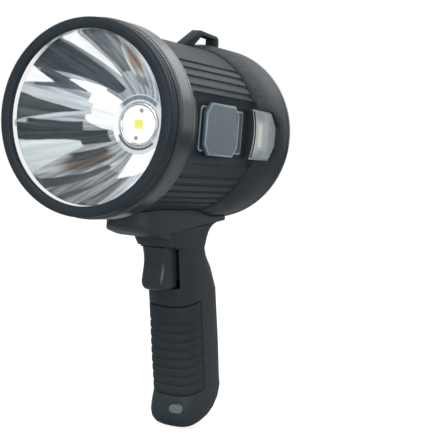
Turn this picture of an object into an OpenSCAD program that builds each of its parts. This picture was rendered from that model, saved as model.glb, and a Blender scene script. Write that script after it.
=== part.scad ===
// Pistol-grip rechargeable spotlight, in millimetres.
// The light shines along -Y, +Z is up and the side panel with the button faces +X.
// Head coordinates: x to the side, s behind the front lip, z over the axis of the head.

/* [Barrel] */
// Outer radius of the ribbed barrel
barrel_r = 53.7; // [48:0.1:60]
// Wall of the barrel
barrel_wall = 3; // [2:0.1:4]
// How far the rear flange stands out from the barrel
flange_step = 3.8; // [2:0.1:6]
// Length of the full-size rear flange
flange_len = 26; // [20:0.5:30]
// Length of the cone between barrel and rear flange
ramp_len = 16; // [8:0.5:22]
// Height of the small step where the cone starts
ramp_step = 0.8; // [0.4:0.1:1.5]
// Depth of the grooves between the ribs
groove_depth = 0.9; // [0.4:0.1:1.4]
// Width of the grooves between the ribs
groove_w = 2.4; // [1.2:0.1:4]
// Angle from groove to groove
groove_pitch = 6.5; // [5:0.5:12]

/* [Front rings] */
// Thickness of the lip in front of the lens
lip_t = 3; // [2:0.1:6]
// Thickness of the lens seal
seal_t = 1; // [0.6:0.1:2]
// Thickness of the front lens
lens_t = 3; // [2:0.1:5]
// Thickness of the reflector's rim
rim_t = 1.8; // [1.2:0.1:3]
// Wall of the bezel's hidden skirt
skirt_t = 1.5; // [1:0.1:2.5]
// How far the lip stands out over the skirt
lip_step = 1.6; // [1:0.1:3]
// Rounding of the lip's front edge
lip_round = 1.8; // [0.5:0.1:3]
// Wall of the collar ring
collar_t = 2.4; // [1.5:0.1:4]
// Length of the collar ring
collar_len = 18; // [12:0.2:26]
// Groove between lip and collar
ring_gap = 0.8; // [0.3:0.1:1.5]

/* [Light engine] */
// Depth of the reflector from its rim to the emitter's plane
reflector_depth = 57; // [48:0.5:62]
// Wall of the reflector
reflector_wall = 1.6; // [1:0.1:2.2]
// Thickness of the reflector's floor
floor_t = 1.8; // [1.4:0.1:3]
// Radius of the emitter board
led_board_r = 12.4; // [10:0.1:14]
// Thickness of the emitter board
led_board_t = 1.6; // [1:0.1:1.7]
// Side of the square emitter
emitter_w = 5.4; // [3:0.1:7]
// Height of the emitter
emitter_h = 1.2; // [0.6:0.1:2]
// Inner radius of the ring round the emitter board
retainer_in_r = 11.3; // [9.5:0.1:11.8]
// Wall of the ring beside the board
retainer_wall = 0.9; // [0.6:0.1:1.5]
// How far the heat sink stays inside the barrel's wall
sink_in = 19.7; // [13:0.1:21]
// Thickness of the heat sink's plate
sink_t = 5; // [3:0.2:8]
// Length of the heat sink's fins
fin_len = 22; // [10:1:34]
// Thickness of each fin
fin_t = 1.6; // [1:0.1:2.5]
// Distance from fin to fin
fin_pitch = 5; // [4:0.2:8]

/* [Side panel] */
// How far the flat panel lies inside the barrel's outside
panel_drop = 5.7; // [4.2:0.1:7.7]
// Thickness of the panel
panel_t = 5; // [3:0.2:6]
// Height of the panel
panel_h = 41.4; // [38:0.2:46]
// Height of the panel's middle against the axis
panel_z = 0.2; // [-3:0.2:3]
// Length of the button's frame
frame_len = 58; // [54:0.5:60]
// Height of the button's frame
frame_h = 27; // [25:0.5:33]
// Thickness of the button's frame
frame_t = 1; // [0.6:0.1:1.6]
// Length of the button's cap
cap_len = 44.4; // [40:0.2:46]
// Height of the button's cap
cap_h = 31.4; // [28:0.2:36]
// Thickness of the button's cap
cap_t = 2; // [1.4:0.1:3]
// Corner cut of the button's cap
cap_corner = 6; // [2:0.5:9]
// Travel of the button
button_travel = 1.5; // [0.8:0.1:2]
// Length of the side lamp's lens
lamp_len = 37.4; // [32:0.2:40]
// Height of the side lamp's lens
lamp_h = 31.4; // [28:0.2:36]
// Thickness of the side lamp's lens
lamp_t = 6.5; // [4:0.1:8]
// Gap between button frame and side lamp
lamp_gap = 3; // [2:0.5:6]

/* [Rear] */
// Thickness of the rear cap
rear_t = 6.2; // [6:0.2:9]
// Rounding of the rear cap's edge
rear_round = 4.4; // [2:0.2:5]
// Thickness of the rear seal
rear_seal_t = 1; // [0.6:0.1:2]
// How far the rear screws stand inside the barrel's wall
rear_screw_in = 4.7; // [4.1:0.1:5.2]
// Length of the strap loop
loop_len = 48; // [40:0.5:52]
// Height of the strap loop over the flange
loop_h = 8.6; // [8:0.2:11]
// Width of the strap loop
loop_w = 7; // [6:0.2:10]
// Thickness of the strap loop's bar
loop_bar = 3.4; // [2.6:0.1:3.6]

/* [Grip] */
// Angle at which the grip leans back
grip_lean = 14.8; // [10:0.2:18]
// Width of the grip
grip_w = 36; // [34:0.5:42]
// Depth of the grip, front to back
grip_d = 53; // [50:0.5:58]
// Distance of the grip's own axis from the middle of the front lip
grip_pos = 108.6; // [104:0.2:112]
// Wall of the grip shells
grip_wall = 4.2; // [3.8:0.1:4.6]
// Thickness of the foot of the grip
foot_t = 7; // [6.4:0.1:8]
// Thickness of the saddle under the barrel, at the front
saddle_t = 12.6; // [11.5:0.1:15]
// Width of the saddle
saddle_w = 36; // [32:0.5:40]
// Height of the brow over the trigger
brow_h = 4.6; // [4.4:0.1:7]
// Thickness of the rubber pads let into the grip
pad_t = 1.8; // [1.2:0.1:2.2]
// Number of cross grooves in the front pad
pad_grooves = 9; // [5:1:11]

/* [Trigger] */
// Height of the trigger
trigger_h = 30; // [27:0.5:36]
// Width of the trigger
trigger_w = 17.4; // [14:0.2:18]
// How far the trigger stands out from the grip
trigger_out = 15; // [12:0.5:17]
// Radius of the trigger's pin
trigger_pin_r = 1.6; // [1.2:0.1:2]

/* [Battery] */
// Radius of a battery cell
cell_r = 9.2; // [7:0.1:9.4]
// Length of a battery cell
cell_len = 65; // [50:0.5:70]
// Wall of the battery's sleeve
sleeve_t = 0.9; // [0.6:0.1:1.2]

/* [Charging] */
// Height from the battery to the foot of the grip
heel_h = 34.4; // [34:0.5:44]
// Radius of the charging flap
flap_r = 7.6; // [7:0.1:8.5]
// Thickness of the charging flap
flap_t = 2; // [1.5:0.1:2.2]
// Radius of the well for the charging plug
well_r = 3; // [2.8:0.05:3.4]

/* [Hidden] */
$fn = 64;
// Clearance between fixed pieces with round faces
fit_gap = 0.2;
// Clearance between a screw's shank and its hole
screw_gap = 0.05;
// Clearance round a moving piece
move_gap = 0.4;
// Radial clearance of a turning pin
pin_gap = 0.05;
// Overshoot of a cutting shape
over = 1;

// Radii of the front rings
barrel_in = barrel_r - barrel_wall;
panel_x = barrel_r - panel_drop;
rear_screw_circle = barrel_in - rear_screw_in;
sink_r = barrel_in - sink_in;
rim_r = barrel_in - 1.4;
open_r = rim_r + 1.2;
seat_r = barrel_r - 0.7;
skirt_in = barrel_r + fit_gap;
skirt_out = skirt_in + skirt_t;
lip_r = skirt_out + lip_step;
collar_in = skirt_out + fit_gap;
collar_r = collar_in + collar_t;
shoulder_r = collar_in + 0.3;
flange_r = barrel_r + flange_step;

// Places along the head, behind the front lip
lens_s = lip_t + seal_t;
rim_s = lens_s + lens_t;
nose_s = rim_s + rim_t;
collar_s = nose_s + ring_gap;
collar_end = collar_s + collar_len;
shoulder_t = 1.6;
shoulder_end = collar_end + shoulder_t;
skirt_end = collar_end - 2.4;
panel_s = shoulder_end + 9;
frame_s = panel_s + 12;
frame_end = frame_s + frame_len;
button_s = frame_s + cap_len / 2 + 1;
lamp_s = frame_end + lamp_gap;
lamp_end = lamp_s + lamp_len;
panel_end = lamp_end + 4;
barrel_end = panel_end + 9;
cap_s = barrel_end + rear_seal_t;
head_len = cap_s + rear_t;
ramp_end = barrel_end - flange_len;
ramp_s = ramp_end - ramp_len;
groove_s = shoulder_end + 3;

// Reflector: a parabola with the emitter's plane through its focus
led_s = rim_s + reflector_depth;
focus = (sqrt(pow(reflector_depth, 2) + pow(rim_r, 2)) - reflector_depth) / 2;
function dish_r(s) = sqrt(4 * focus * (led_s + focus - s));
dish_steps = 20;
sink_s = led_s + floor_t;
retainer_r = led_board_r + fit_gap + retainer_wall;
led_hole_r = retainer_r + fit_gap;
sink_screw_circle = sink_r - 4;
sink_boss_r = 3.2;
led_screw_circle = led_board_r - 3.8;

// Screws: shank and head radii
small_screw = 0.9;
fine_screw = 1.05;
screw = 1.45;
big_screw = 1.9;

// Side panel: levels out from the axis
frame_x = panel_x + frame_t;
cap_x = frame_x + button_travel + 0.1;
stem_len = cap_len - 12;
stem_h = frame_h - 7;
stem_end_x = panel_x - panel_t - 2;
lug = 2;
plunger_x = stem_end_x - button_travel - 0.1;
board_t = 1.6;
button_board_x = stem_end_x - 6.4;
tray_t = 1.5;
tray_x = panel_x - 8;
strip_w = 4;
strip_h = 15;

// Driver board on the four rear screw pillars
pillar_r = 5;
pillar_len = 21;
driver_s = barrel_end - pillar_len - board_t;
driver_edge_x = rear_screw_circle * cos(45) + 3.5;

// Strap loop
loop_end = barrel_end - 6;
loop_s = loop_end - loop_len;
loop_top = flange_r + loop_h;
loop_slant = loop_h + 12;

// Saddle: its underside rises a little towards the rear
joint_slope = 0.105;
joint_s = 80;
saddle_z = -(barrel_r + saddle_t);
function joint_z(s) = saddle_z + joint_slope * (s - joint_s);
saddle_s = shoulder_end + 23;
saddle_end = barrel_end - 2;

// The grip has its own frame, which leans back about the middle of the front lip:
// t runs from front to back across the grip, w runs up along it
lean_s = sin(grip_lean);
lean_c = cos(grip_lean);
function joint_w(t) = (saddle_z - joint_slope * joint_s + t * (joint_slope * lean_c - lean_s))
    / (lean_c + joint_slope * lean_s);

// Heights of the grip's stack, down its own axis
top_w = joint_w(grip_pos);
slot_top = top_w - brow_h;
trigger_top = slot_top - 0.8;
trigger_end = trigger_top - trigger_h;
slot_end = trigger_end - 2;
cell_top = slot_end - 1;
cell_end = cell_top - cell_len;
foot_w = cell_end - heel_h;

// Outline of the grip: a rounded section with a waist, a brow over the trigger and a swell in the palm
roundness = 3;
palm_w = (slot_end + foot_w) / 2;
front_t = grip_pos - grip_d / 2;
rear_t_at = grip_pos + grip_d / 2;
brow_out = 16;
waist_in = 14.4;
waist_side = 2;
front_steps = [[foot_w, 6], [foot_w + 1, 3], [foot_w + 3, 0.2], [foot_w + 6.5, -2], [foot_w + 11, -3],
    [foot_w + 17, -1.8], [foot_w + 24, 1], [palm_w, 0], [slot_end, 0.4], [slot_top - 6, 0],
    [slot_top - 1, -brow_out + 3], [slot_top + 1.6, -brow_out], [top_w, -brow_out - 1.4]];
rear_steps = [[foot_w, -20], [foot_w + 1, -17.6], [foot_w + 3, -15.2], [foot_w + 6.5, -10.4], [foot_w + 11, -4.2],
    [foot_w + 17, 0], [foot_w + 24, 0], [palm_w, 0.4], [slot_end - 10, -0.8], [slot_end + 4, -7.2],
    [slot_end + 14, -13], [slot_top - 10, -waist_in], [slot_top - 3, -waist_in + 8.4],
    [slot_top + 2, -waist_in + 19], [top_w, -waist_in + 25]];
side_steps = [[foot_w, -7], [foot_w + 1, -4], [foot_w + 3, -1.6], [foot_w + 6.5, 0.2], [foot_w + 11, 0.8],
    [foot_w + 17, 0.6], [foot_w + 24, 0], [palm_w, 0], [slot_end, -0.4], [slot_top - 10, -waist_side],
    [slot_top - 3, -waist_side + 1], [top_w, -waist_side + 2]];
function front_at(w) = front_t + lookup(w, front_steps);
function rear_at(w) = rear_t_at + lookup(w, rear_steps);
function side_at(w) = grip_w / 2 + lookup(w, side_steps);
// A point of the section at height w: turn -90 is the front, 90 is the back
function section(w, turn, inset) = let (
        f = front_at(w) + inset,
        r = rear_at(w) - inset,
        x = side_at(w) - inset,
        p = 2 / roundness
    ) [x * pow(cos(turn), p), (f + r) / 2 + (r - f) / 2 * sign(turn) * pow(abs(sin(turn)), p)];
// The top of the grip follows the saddle's underside
function tilt(w, t) = w + (joint_w(t) - top_w) * max(0, (w - slot_top) / (top_w - slot_top));
// Height and place behind the lip of a point of the grip
function reach_z(w, turn) = section(w, turn, 0)[1] * lean_s + w * lean_c;
function reach_s(w, turn) = section(w, turn, 0)[1] * lean_c - w * lean_s;

// Rubber pads let into the grip, by height and by turn round the section
pad_top = slot_end - 12;
pad_end = foot_w + 24;
pad_turn = -7;
strap_top = slot_top - 13;
strap_end = palm_w - 13;
strap_turn = 55;
pad_edge = 0.6;
turn_edge = 2;
function within(v, lo, hi, soft) = max(0, min(1, min(v - lo, hi - v) / soft));
function pad_depth(w, turn) = (pad_t + fit_gap) * max(
    within(w, pad_end, pad_top, pad_edge) * within(turn, -999, pad_turn, turn_edge),
    within(w, strap_end, strap_top, pad_edge) * within(turn, strap_turn, 999, turn_edge));
turns = concat([for (t = [-90:10:-20]) t], [-13, pad_turn - turn_edge, pad_turn], [for (t = [0:10:50]) t],
    [strap_turn, strap_turn + turn_edge, 65, 75, 90]);
shell_levels = concat([foot_w, foot_w + 1, foot_w + 3, foot_w + 6.5, foot_w + 11, foot_w + 17],
    [pad_end, pad_end + pad_edge, (pad_end + strap_end) / 2, strap_end, strap_end + pad_edge],
    [for (i = [1:4]) strap_end + i * (pad_top - strap_end) / 5],
    [pad_top - pad_edge, pad_top, slot_end + 4, slot_end + 14],
    [strap_top - pad_edge, strap_top, slot_top - 6, slot_top - 3, slot_top - 1, slot_top + 1.6, top_w]);
// The saddle's chin ends just in front of the grip's brow
brow_t = front_at(top_w);
chin_s = brow_t * lean_c - joint_w(brow_t) * lean_s - 0.6;
// Lowest and rearmost points of the whole light, both on the grip
axis_h = -min([for (w = shell_levels) reach_z(w, -90)]);
rear_reach = max(concat([head_len], [for (w = shell_levels) reach_s(w, 90)]));

// Screws that join the two grip shells: place across and along the grip
grip_screw_r = 1.45;
grip_boss_r = 3.4;
grip_seat_x = grip_w / 2 - 7;
tongue_screw = [grip_pos - 8, slot_top - 6];
rear_grip_screw = [grip_pos + 9, slot_top - 27];
foot_grip_screw = [grip_pos + 12, foot_w + 23];
grip_screw_places = [tongue_screw, rear_grip_screw, foot_grip_screw];
tongue_w = 14;
tongue_t = [tongue_screw[0] - 5, tongue_screw[0] + 14];
tongue_end = tongue_screw[1] - 5;
wire_r = 3.6;
wire_t = tongue_screw[0] + 9;

// Trigger: pivot, slot and the wall behind it
pivot = [front_t, slot_top + 3.2];
hub_r = 4;
trigger_front = front_t - trigger_out;
trigger_back = front_t - 1;
slot_w = trigger_w + 5;
stop_at = front_t + 9.5;
stop_t = 2.5;
spring_w = slot_top - 22;
spring_r = 3.6;
spring_wire = 0.4;
spring_seat = 2;

// Charging socket in the middle of the foot
socket_t = grip_pos - 7.5;
flap_gap = 0.6;
flap_pocket = flap_t + 0.4;
socket_flange_r = flap_r - 0.6;
socket_flange_t = 1.2;
socket_r = 5.5;
socket_depth = 13;
hinge_r = 1;
hinge_out = flap_r + 1.4;
hinge_len = 10;
plug_r = well_r - 0.6;
charge_board_w = foot_w + socket_depth;

// Puts head coordinates in the frame of the whole light
module head() translate([0, -rear_reach / 2, axis_h]) children();
// Puts the grip's own coordinates in the frame of the whole light
module grip() head() rotate([grip_lean, 0, 0]) children();
module grip_across(x, w) grip() translate([x, 0, 0]) rotate([90, 0, 90]) linear_extrude(w) children();
module grip_box(lo, hi) grip() box(lo, hi);
module grip_pin(place, r, x, w) grip_across(x, w) translate(place) circle(r);
module grip_up(t, w, r, h) grip() translate([0, t, w]) cylinder(r = r, h = h);
// Stands a shape along the head's axis, its own Z pointing to the rear
module along_axis(s) head() translate([0, s, 0]) rotate([-90, 0, 0]) children();
// Turns an outline of radius and place round the head's axis
module revolve() along_axis(0) rotate_extrude($fn = 96) children();
// Extrudes an outline of place and height sideways, from x to x + w
module across(x, w) head() translate([x, 0, 0]) rotate([90, 0, 90]) linear_extrude(w) children();
// A box between two corners
module box(lo, hi) translate(lo) cube(hi - lo);
module head_box(lo, hi) head() box(lo, hi);
// A cylinder across the head, from x to x + w
module cross_pin(place, r, x, w) across(x, w) translate(place) circle(r);
// A rod pointing out to the side, from level x to level x + h
module side_rod(s, z, r, x, h) head() translate([x, s, z]) rotate([0, 90, 0]) cylinder(r = r, h = h);
// A rod standing up in head coordinates
module up_rod(x, s, z, r, h) head() translate([x, s, z]) cylinder(r = r, h = h);
// Ring of rods round the axis
module rod_circle(circle_r, n, first, s, r, h) {
    along_axis(s)
        for (i = [0:n - 1])
            rotate(first + i * 360 / n)
                translate([circle_r, 0, 0])
                    cylinder(r = r, h = h);
}
// Outline with its corners cut
function cut_rect(cx, cy, w, h, c) = [
    [cx - w / 2 + c, cy - h / 2], [cx + w / 2 - c, cy - h / 2], [cx + w / 2, cy - h / 2 + c],
    [cx + w / 2, cy + h / 2 - c], [cx + w / 2 - c, cy + h / 2], [cx - w / 2 + c, cy + h / 2],
    [cx - w / 2, cy + h / 2 - c], [cx - w / 2, cy - h / 2 + c]];

// Outside of the barrel from the collar's shoulder back, grown by a gap
module barrel_outside(gap) {
    revolve()
        polygon([[0, shoulder_end], [barrel_r + gap, shoulder_end], [barrel_r + gap, ramp_s - gap],
            [barrel_r + ramp_step + gap, ramp_s - gap], [flange_r + gap, ramp_end], [flange_r + gap, head_len + over],
            [0, head_len + over]]);
}

module front_bezel() color("#26282b") {
    revolve()
        polygon(concat([[open_r + 0.8, 0]],
            [for (a = [0:15:90]) [lip_r - lip_round * (1 - sin(a)), lip_round * (1 - cos(a))]],
            [[lip_r, nose_s], [skirt_out, nose_s], [skirt_out, skirt_end], [skirt_in, skirt_end],
            [skirt_in, nose_s - fit_gap], [seat_r + fit_gap, nose_s - fit_gap], [seat_r + fit_gap, lip_t],
            [open_r, lip_t], [open_r, 0.8]]));
}

module lens_gasket() color("#151515") {
    revolve() translate([open_r + 0.3, lip_t]) square([seat_r - open_r - 0.3, seal_t]);
}

module front_lens() color("#dfe8ee", 0.4) {
    along_axis(lens_s) cylinder(r = seat_r, h = lens_t, $fn = 96);
}

module reflector() color("#e6e8ea") {
    boss_s = led_s + focus - pow(sink_screw_circle - sink_boss_r - 0.3, 2) / (4 * focus);
    difference() {
        union() {
            revolve()
                polygon(concat([[seat_r - fit_gap, rim_s]],
                    [for (i = [0:dish_steps]) let (s = rim_s + i * reflector_depth / dish_steps) [dish_r(s), s]],
                    [[led_hole_r, led_s], [led_hole_r, sink_s], [dish_r(led_s) + reflector_wall, sink_s]],
                    [for (i = [dish_steps:-1:0]) let (s = nose_s + i * (led_s - nose_s) / dish_steps)
                        [dish_r(s) + reflector_wall, s]],
                    [[seat_r - fit_gap, nose_s]]));
            rod_circle(sink_screw_circle, 3, 90, boss_s, sink_boss_r, sink_s - boss_s);
        }
        rod_circle(sink_screw_circle, 3, 90, boss_s + 1, fine_screw + screw_gap, sink_s - boss_s);
    }
}

module head_collar() color("#2a2c2f") {
    edge = 0.9;
    revolve()
        polygon([[collar_in, collar_s], [collar_r - edge, collar_s], [collar_r, collar_s + edge],
            [collar_r, collar_end - edge], [collar_r - edge, collar_end], [collar_in, collar_end]]);
}

// Angles of the grooves: both sides leave the top smooth, and the panel's side leaves the panel clear
groove_angles = concat([for (a = [20:groove_pitch:46]) a], [for (a = [-32:-groove_pitch:-61]) a],
    [for (a = [134:groove_pitch:241]) a]);

module barrel() color("#2b2d30") {
    pad_margin = 1.4;
    difference() {
        union() {
            revolve()
                polygon([[barrel_in, nose_s], [barrel_r, nose_s], [barrel_r, collar_end], [shoulder_r, collar_end],
                    [shoulder_r, shoulder_end], [barrel_r, shoulder_end], [barrel_r, ramp_s],
                    [barrel_r + ramp_step, ramp_s], [flange_r, ramp_end], [flange_r, barrel_end],
                    [barrel_in, barrel_end]]);
            // Panel wall behind the button and the side lamp
            intersection() {
                head_box([panel_x - panel_t, panel_s - 2, panel_z - panel_h / 2 - pad_margin],
                    [barrel_r, panel_end + 2, panel_z + panel_h / 2 + pad_margin]);
                along_axis(panel_s - 2) cylinder(r = barrel_r - 0.5, h = panel_end - panel_s + 4);
            }
            // Pillars for the rear screws
            rod_circle(rear_screw_circle, 4, 45, barrel_end - pillar_len, pillar_r, pillar_len - 0.2);
            // Posts for the button's board
            for (s = button_post_places)
                side_rod(s, panel_z, 2.6, button_board_x + board_t, panel_x - panel_t - button_board_x - board_t + 0.5);
        }
        along_axis(groove_s)
            linear_extrude(ramp_s - groove_s - 0.6)
                for (a = groove_angles)
                    rotate(-a) translate([barrel_r - groove_depth, -groove_w / 2]) square([groove_depth + over, groove_w]);
        // Flat recess of the panel, which ends in a close window round the side lamp
        head_box([panel_x, panel_s, panel_z - panel_h / 2], [flange_r + over, lamp_s + 11, panel_z + panel_h / 2]);
        across(panel_x, flange_r - panel_x + over) lamp_outline(-0.3);
        // Window for the button's stem
        head_box([panel_x - panel_t - over, button_s - stem_len / 2 - move_gap, panel_z - stem_h / 2 - move_gap],
            [panel_x + over, button_s + stem_len / 2 + move_gap, panel_z + stem_h / 2 + move_gap]);
        // Window for the side lamp's tray
        head_box([panel_x - panel_t - over, lamp_s + 4, panel_z - lamp_h / 2 + 4],
            [panel_x + over, lamp_end - 4, panel_z + lamp_h / 2 - 4]);
        rod_circle(rear_screw_circle, 4, 45, barrel_end - pillar_len - over, screw + screw_gap, pillar_len + 2 * over);
        for (s = button_post_places)
            side_rod(s, panel_z, fine_screw + screw_gap, button_board_x, 8);
        for (s = loop_screw_places)
            up_rod(0, s, barrel_in - over, fine_screw + 0.2, flange_step + barrel_wall + 2 * over);
        for (s = saddle_screw_places)
            up_rod(0, s, -barrel_r - over, big_screw + 0.2, barrel_wall + 2 * over);
        grip_up(wire_t, joint_w(wire_t), wire_r, 20);
    }
}

module rear_cap() color("#26282b") {
    hollow_r = rear_screw_circle - 4.5;
    hollow = rear_t - 4;
    dish = 1.5;
    dish_out = hollow_r - 2;
    difference() {
        revolve()
            polygon(concat([[0, cap_s + hollow], [hollow_r, cap_s + hollow], [hollow_r, cap_s]],
                [[flange_r, cap_s]],
                [for (a = [0:15:90]) [flange_r - rear_round * (1 - cos(a)), head_len - rear_round * (1 - sin(a))]],
                [[dish_out + dish, head_len], [dish_out, head_len - dish], [0, head_len - dish]]));
        rod_circle(rear_screw_circle, 4, 45, cap_s - over, screw + 0.2, rear_t + 2 * over);
        rod_circle(rear_screw_circle, 4, 45, head_len - 3.4, screw * 2 + 0.3, 3.4 + over);
    }
}

module rear_gasket() color("#151515") {
    revolve() translate([barrel_in + 0.6, barrel_end]) square([flange_r - barrel_in - 1.4, rear_seal_t]);
}

// A screw along the axis, its head to the rear of the seat
module rear_screw(seat_s, len, r, head_h) {
    along_axis(seat_s - len) cylinder(r = r, h = len);
    along_axis(seat_s) cylinder(r = r * 2, h = head_h);
}

module rear_cap_screws() color("silver") {
    seat = head_len - 3.4;
    rod_circle(rear_screw_circle, 4, 45, seat - 16, screw, 16);
    difference() {
        rod_circle(rear_screw_circle, 4, 45, seat, screw * 2, 2.2);
        rod_circle(rear_screw_circle, 4, 45, seat + 0.9, screw, 2);
    }
}

loop_screw_places = [loop_s + 9, loop_end - 3.4];
module strap_loop() color("#1f2123") {
    difference() {
        across(-loop_w / 2, loop_w)
            difference() {
                polygon([[loop_s, barrel_r - 1], [loop_s, barrel_r + 1.2], [loop_s + loop_slant, loop_top],
                    [loop_end - 3, loop_top - 1.2], [loop_end - 0.8, loop_top - 2.4], [loop_end, loop_top - 5],
                    [loop_end, barrel_r - 1]]);
                polygon([[loop_s + 14, barrel_r - 2], [loop_s + 14, barrel_r + 2],
                    [loop_s + loop_slant + 3, loop_top - loop_bar], [loop_end - 7, loop_top - loop_bar - 0.4],
                    [loop_end - 6.6, barrel_r - 2]]);
            }
        barrel_outside(0.1);
        for (s = loop_screw_places)
            up_rod(0, s, barrel_r - 2, fine_screw + screw_gap, 6.4);
    }
}

module strap_loop_screws() color("silver") {
    for (s = loop_screw_places) {
        up_rod(0, s, barrel_in - 0.2, fine_screw, 7);
        up_rod(0, s, barrel_in - 2, fine_screw * 2, 1.85);
    }
}

module led_board() color("white") {
    difference() {
        along_axis(sink_s - led_board_t) cylinder(r = led_board_r, h = led_board_t);
        rod_circle(led_screw_circle, 2, 98, sink_s - led_board_t - over, small_screw + 0.1, led_board_t + 2 * over);
    }
}

module led_emitter() color("#f2ee6a") {
    face = sink_s - led_board_t;
    head_box([-emitter_w / 2, face - emitter_h, -emitter_w / 2], [emitter_w / 2, face, emitter_w / 2]);
}

module led_retainer() color("#d8dadc") {
    face = sink_s - led_board_t;
    revolve()
        polygon([[retainer_in_r, face], [retainer_in_r + 0.4, face - 0.9], [retainer_r - 0.5, face - 1.4],
            [retainer_r, face - 0.9], [retainer_r, sink_s], [led_board_r + fit_gap, sink_s],
            [led_board_r + fit_gap, face]]);
}

module led_screws() color("silver") {
    face = sink_s - led_board_t;
    rod_circle(led_screw_circle, 2, 98, face - 0.8, small_screw * 1.5, 0.8);
    rod_circle(led_screw_circle, 2, 98, face - 0.1, small_screw, led_board_t + 3);
}

module heat_sink() color("#9a9da0") {
    difference() {
        union() {
            along_axis(sink_s) cylinder(r = sink_r, h = sink_t);
            along_axis(sink_s + sink_t - 0.1)
                linear_extrude(fin_len)
                    intersection() {
                        circle(sink_r - 1);
                        for (i = [-floor((sink_r - 4) / fin_pitch):floor((sink_r - 4) / fin_pitch)])
                            translate([i * fin_pitch - fin_t / 2, -sink_r]) square([fin_t, 2 * sink_r]);
                    }
        }
        rod_circle(sink_screw_circle, 3, 90, sink_s - over, fine_screw + 0.2, sink_t + 2 * over);
        rod_circle(sink_screw_circle, 3, 90, sink_s + sink_t, 2.9, fin_len + over);
        rod_circle(led_screw_circle, 2, 98, sink_s - over, small_screw + screw_gap, 4.4 + over);
    }
}

module heat_sink_screws() color("silver") {
    seat = sink_s + sink_t;
    rod_circle(sink_screw_circle, 3, 90, seat - sink_t - 3.4, fine_screw, sink_t + 3.4);
    rod_circle(sink_screw_circle, 3, 90, seat, fine_screw * 2, 1.8);
}

module driver_board() color("#2f6b46") {
    difference() {
        intersection() {
            along_axis(driver_s) cylinder(r = barrel_in - 1, h = board_t);
            head_box([-barrel_r, driver_s - over, -barrel_r], [driver_edge_x, driver_s + board_t + over, barrel_r]);
        }
        rod_circle(rear_screw_circle, 4, 45, driver_s - over, fine_screw + 0.3, board_t + 2 * over);
        // Notch for the wires
        along_axis(driver_s - over) translate([0, barrel_in - 4, 0]) cylinder(r = 5, h = board_t + 2 * over);
    }
}

module driver_board_screws() color("silver") {
    rod_circle(rear_screw_circle, 4, 45, driver_s - 1.6, fine_screw * 2, 1.6);
    rod_circle(rear_screw_circle, 4, 45, driver_s - 0.1, fine_screw, board_t + 4);
}

module driver_inductor() color("#3a3d40") {
    along_axis(driver_s - 9) rotate_extrude() translate([5, 0]) square([5, 9]);
}

module driver_capacitors() color("#2b3f66") {
    for (x = [-barrel_in * 0.4, -barrel_in * 0.68])
        head() translate([x, driver_s - 14, 0]) rotate([-90, 0, 0]) cylinder(r = 5, h = 14);
}

module button_frame() color("#6d7377") {
    difference() {
        across(panel_x, frame_t) polygon(cut_rect(frame_s + frame_len / 2, panel_z, frame_len, frame_h, 1.5));
        head_box([panel_x - over, button_s - stem_len / 2 - move_gap, panel_z - stem_h / 2 - move_gap],
            [frame_x + over, button_s + stem_len / 2 + move_gap, panel_z + stem_h / 2 + move_gap]);
    }
}

module side_button() color("#7d858a") {
    slant = 1.6;
    skin = 0.5;
    hull() {
        across(cap_x, skin) polygon(cut_rect(button_s, panel_z, cap_len, cap_h, cap_corner));
        across(cap_x + cap_t - 0.1, 0.1)
            polygon(cut_rect(button_s, panel_z, cap_len - 2 * slant, cap_h - 2 * slant, cap_corner - 0.6));
    }
    difference() {
        union() {
            head_box([stem_end_x, button_s - stem_len / 2, panel_z - stem_h / 2],
                [cap_x + 0.2, button_s + stem_len / 2, panel_z + stem_h / 2]);
            // Lugs that keep the button in the panel
            head_box([stem_end_x, button_s - stem_len / 2 - lug, panel_z - stem_h / 4],
                [panel_x - panel_t - move_gap, button_s + stem_len / 2 + lug, panel_z + stem_h / 4]);
        }
        // Hollow stem, with a floor on the switch side
        head_box([stem_end_x + 1.6, button_s - stem_len / 2 + 2, panel_z - stem_h / 2 + 2],
            [cap_x - 0.4, button_s + stem_len / 2 - 2, panel_z + stem_h / 2 - 2]);
    }
}

// Coil spring along Z: one unbroken tube of six sides with eight rings to a curl
spring_sides = 6;
spring_rings = 8;
function coil_point(r, len, curls, i, wire) = let (a = i * 360 / spring_rings, n = curls * spring_rings)
    [r * cos(a), r * sin(a), wire + (len - 2 * wire) * i / n];
module coil(r, wire, len, curls) {
    n = curls * spring_rings;
    points = [for (i = [0:n]) let (a = i * 360 / spring_rings, c = coil_point(r, len, curls, i, wire))
        for (j = [0:spring_sides - 1]) let (b = j * 360 / spring_sides)
            c + wire * [cos(a) * cos(b), sin(a) * cos(b), sin(b)]];
    sides = [for (i = [0:n - 1]) for (j = [0:spring_sides - 1]) let (
            k = (j + 1) % spring_sides,
            a = i * spring_sides + j,
            b = i * spring_sides + k,
            c = (i + 1) * spring_sides + k,
            d = (i + 1) * spring_sides + j
        ) each [[a, b, c], [a, c, d]]];
    first = [for (j = [1:spring_sides - 2]) [0, j + 1, j]];
    tip = n * spring_sides;
    last = [for (j = [1:spring_sides - 2]) [tip, tip + j, tip + j + 1]];
    gap = min([for (i = [0:n - spring_rings]) norm(coil_point(r, len, curls, i + spring_rings, wire)
        - coil_point(r, len, curls, i, wire)) - 2 * wire]);
    echo(least_gap = gap);
    polyhedron(points, concat(sides, first, last), convexity = 8);
}

button_coil_r = 6.4;
button_post_places = [frame_s + 1.6, button_s + stem_len / 2 + 8];
button_board_ends = [button_post_places[0] - 4, button_post_places[1] + 4.4];
module button_spring() color("silver") {
    base_x = button_board_x + board_t;
    head() translate([base_x + 0.05, button_s, panel_z]) rotate([0, 90, 0])
        coil(button_coil_r, 0.35, stem_end_x - base_x - 0.1, 3);
}

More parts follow.
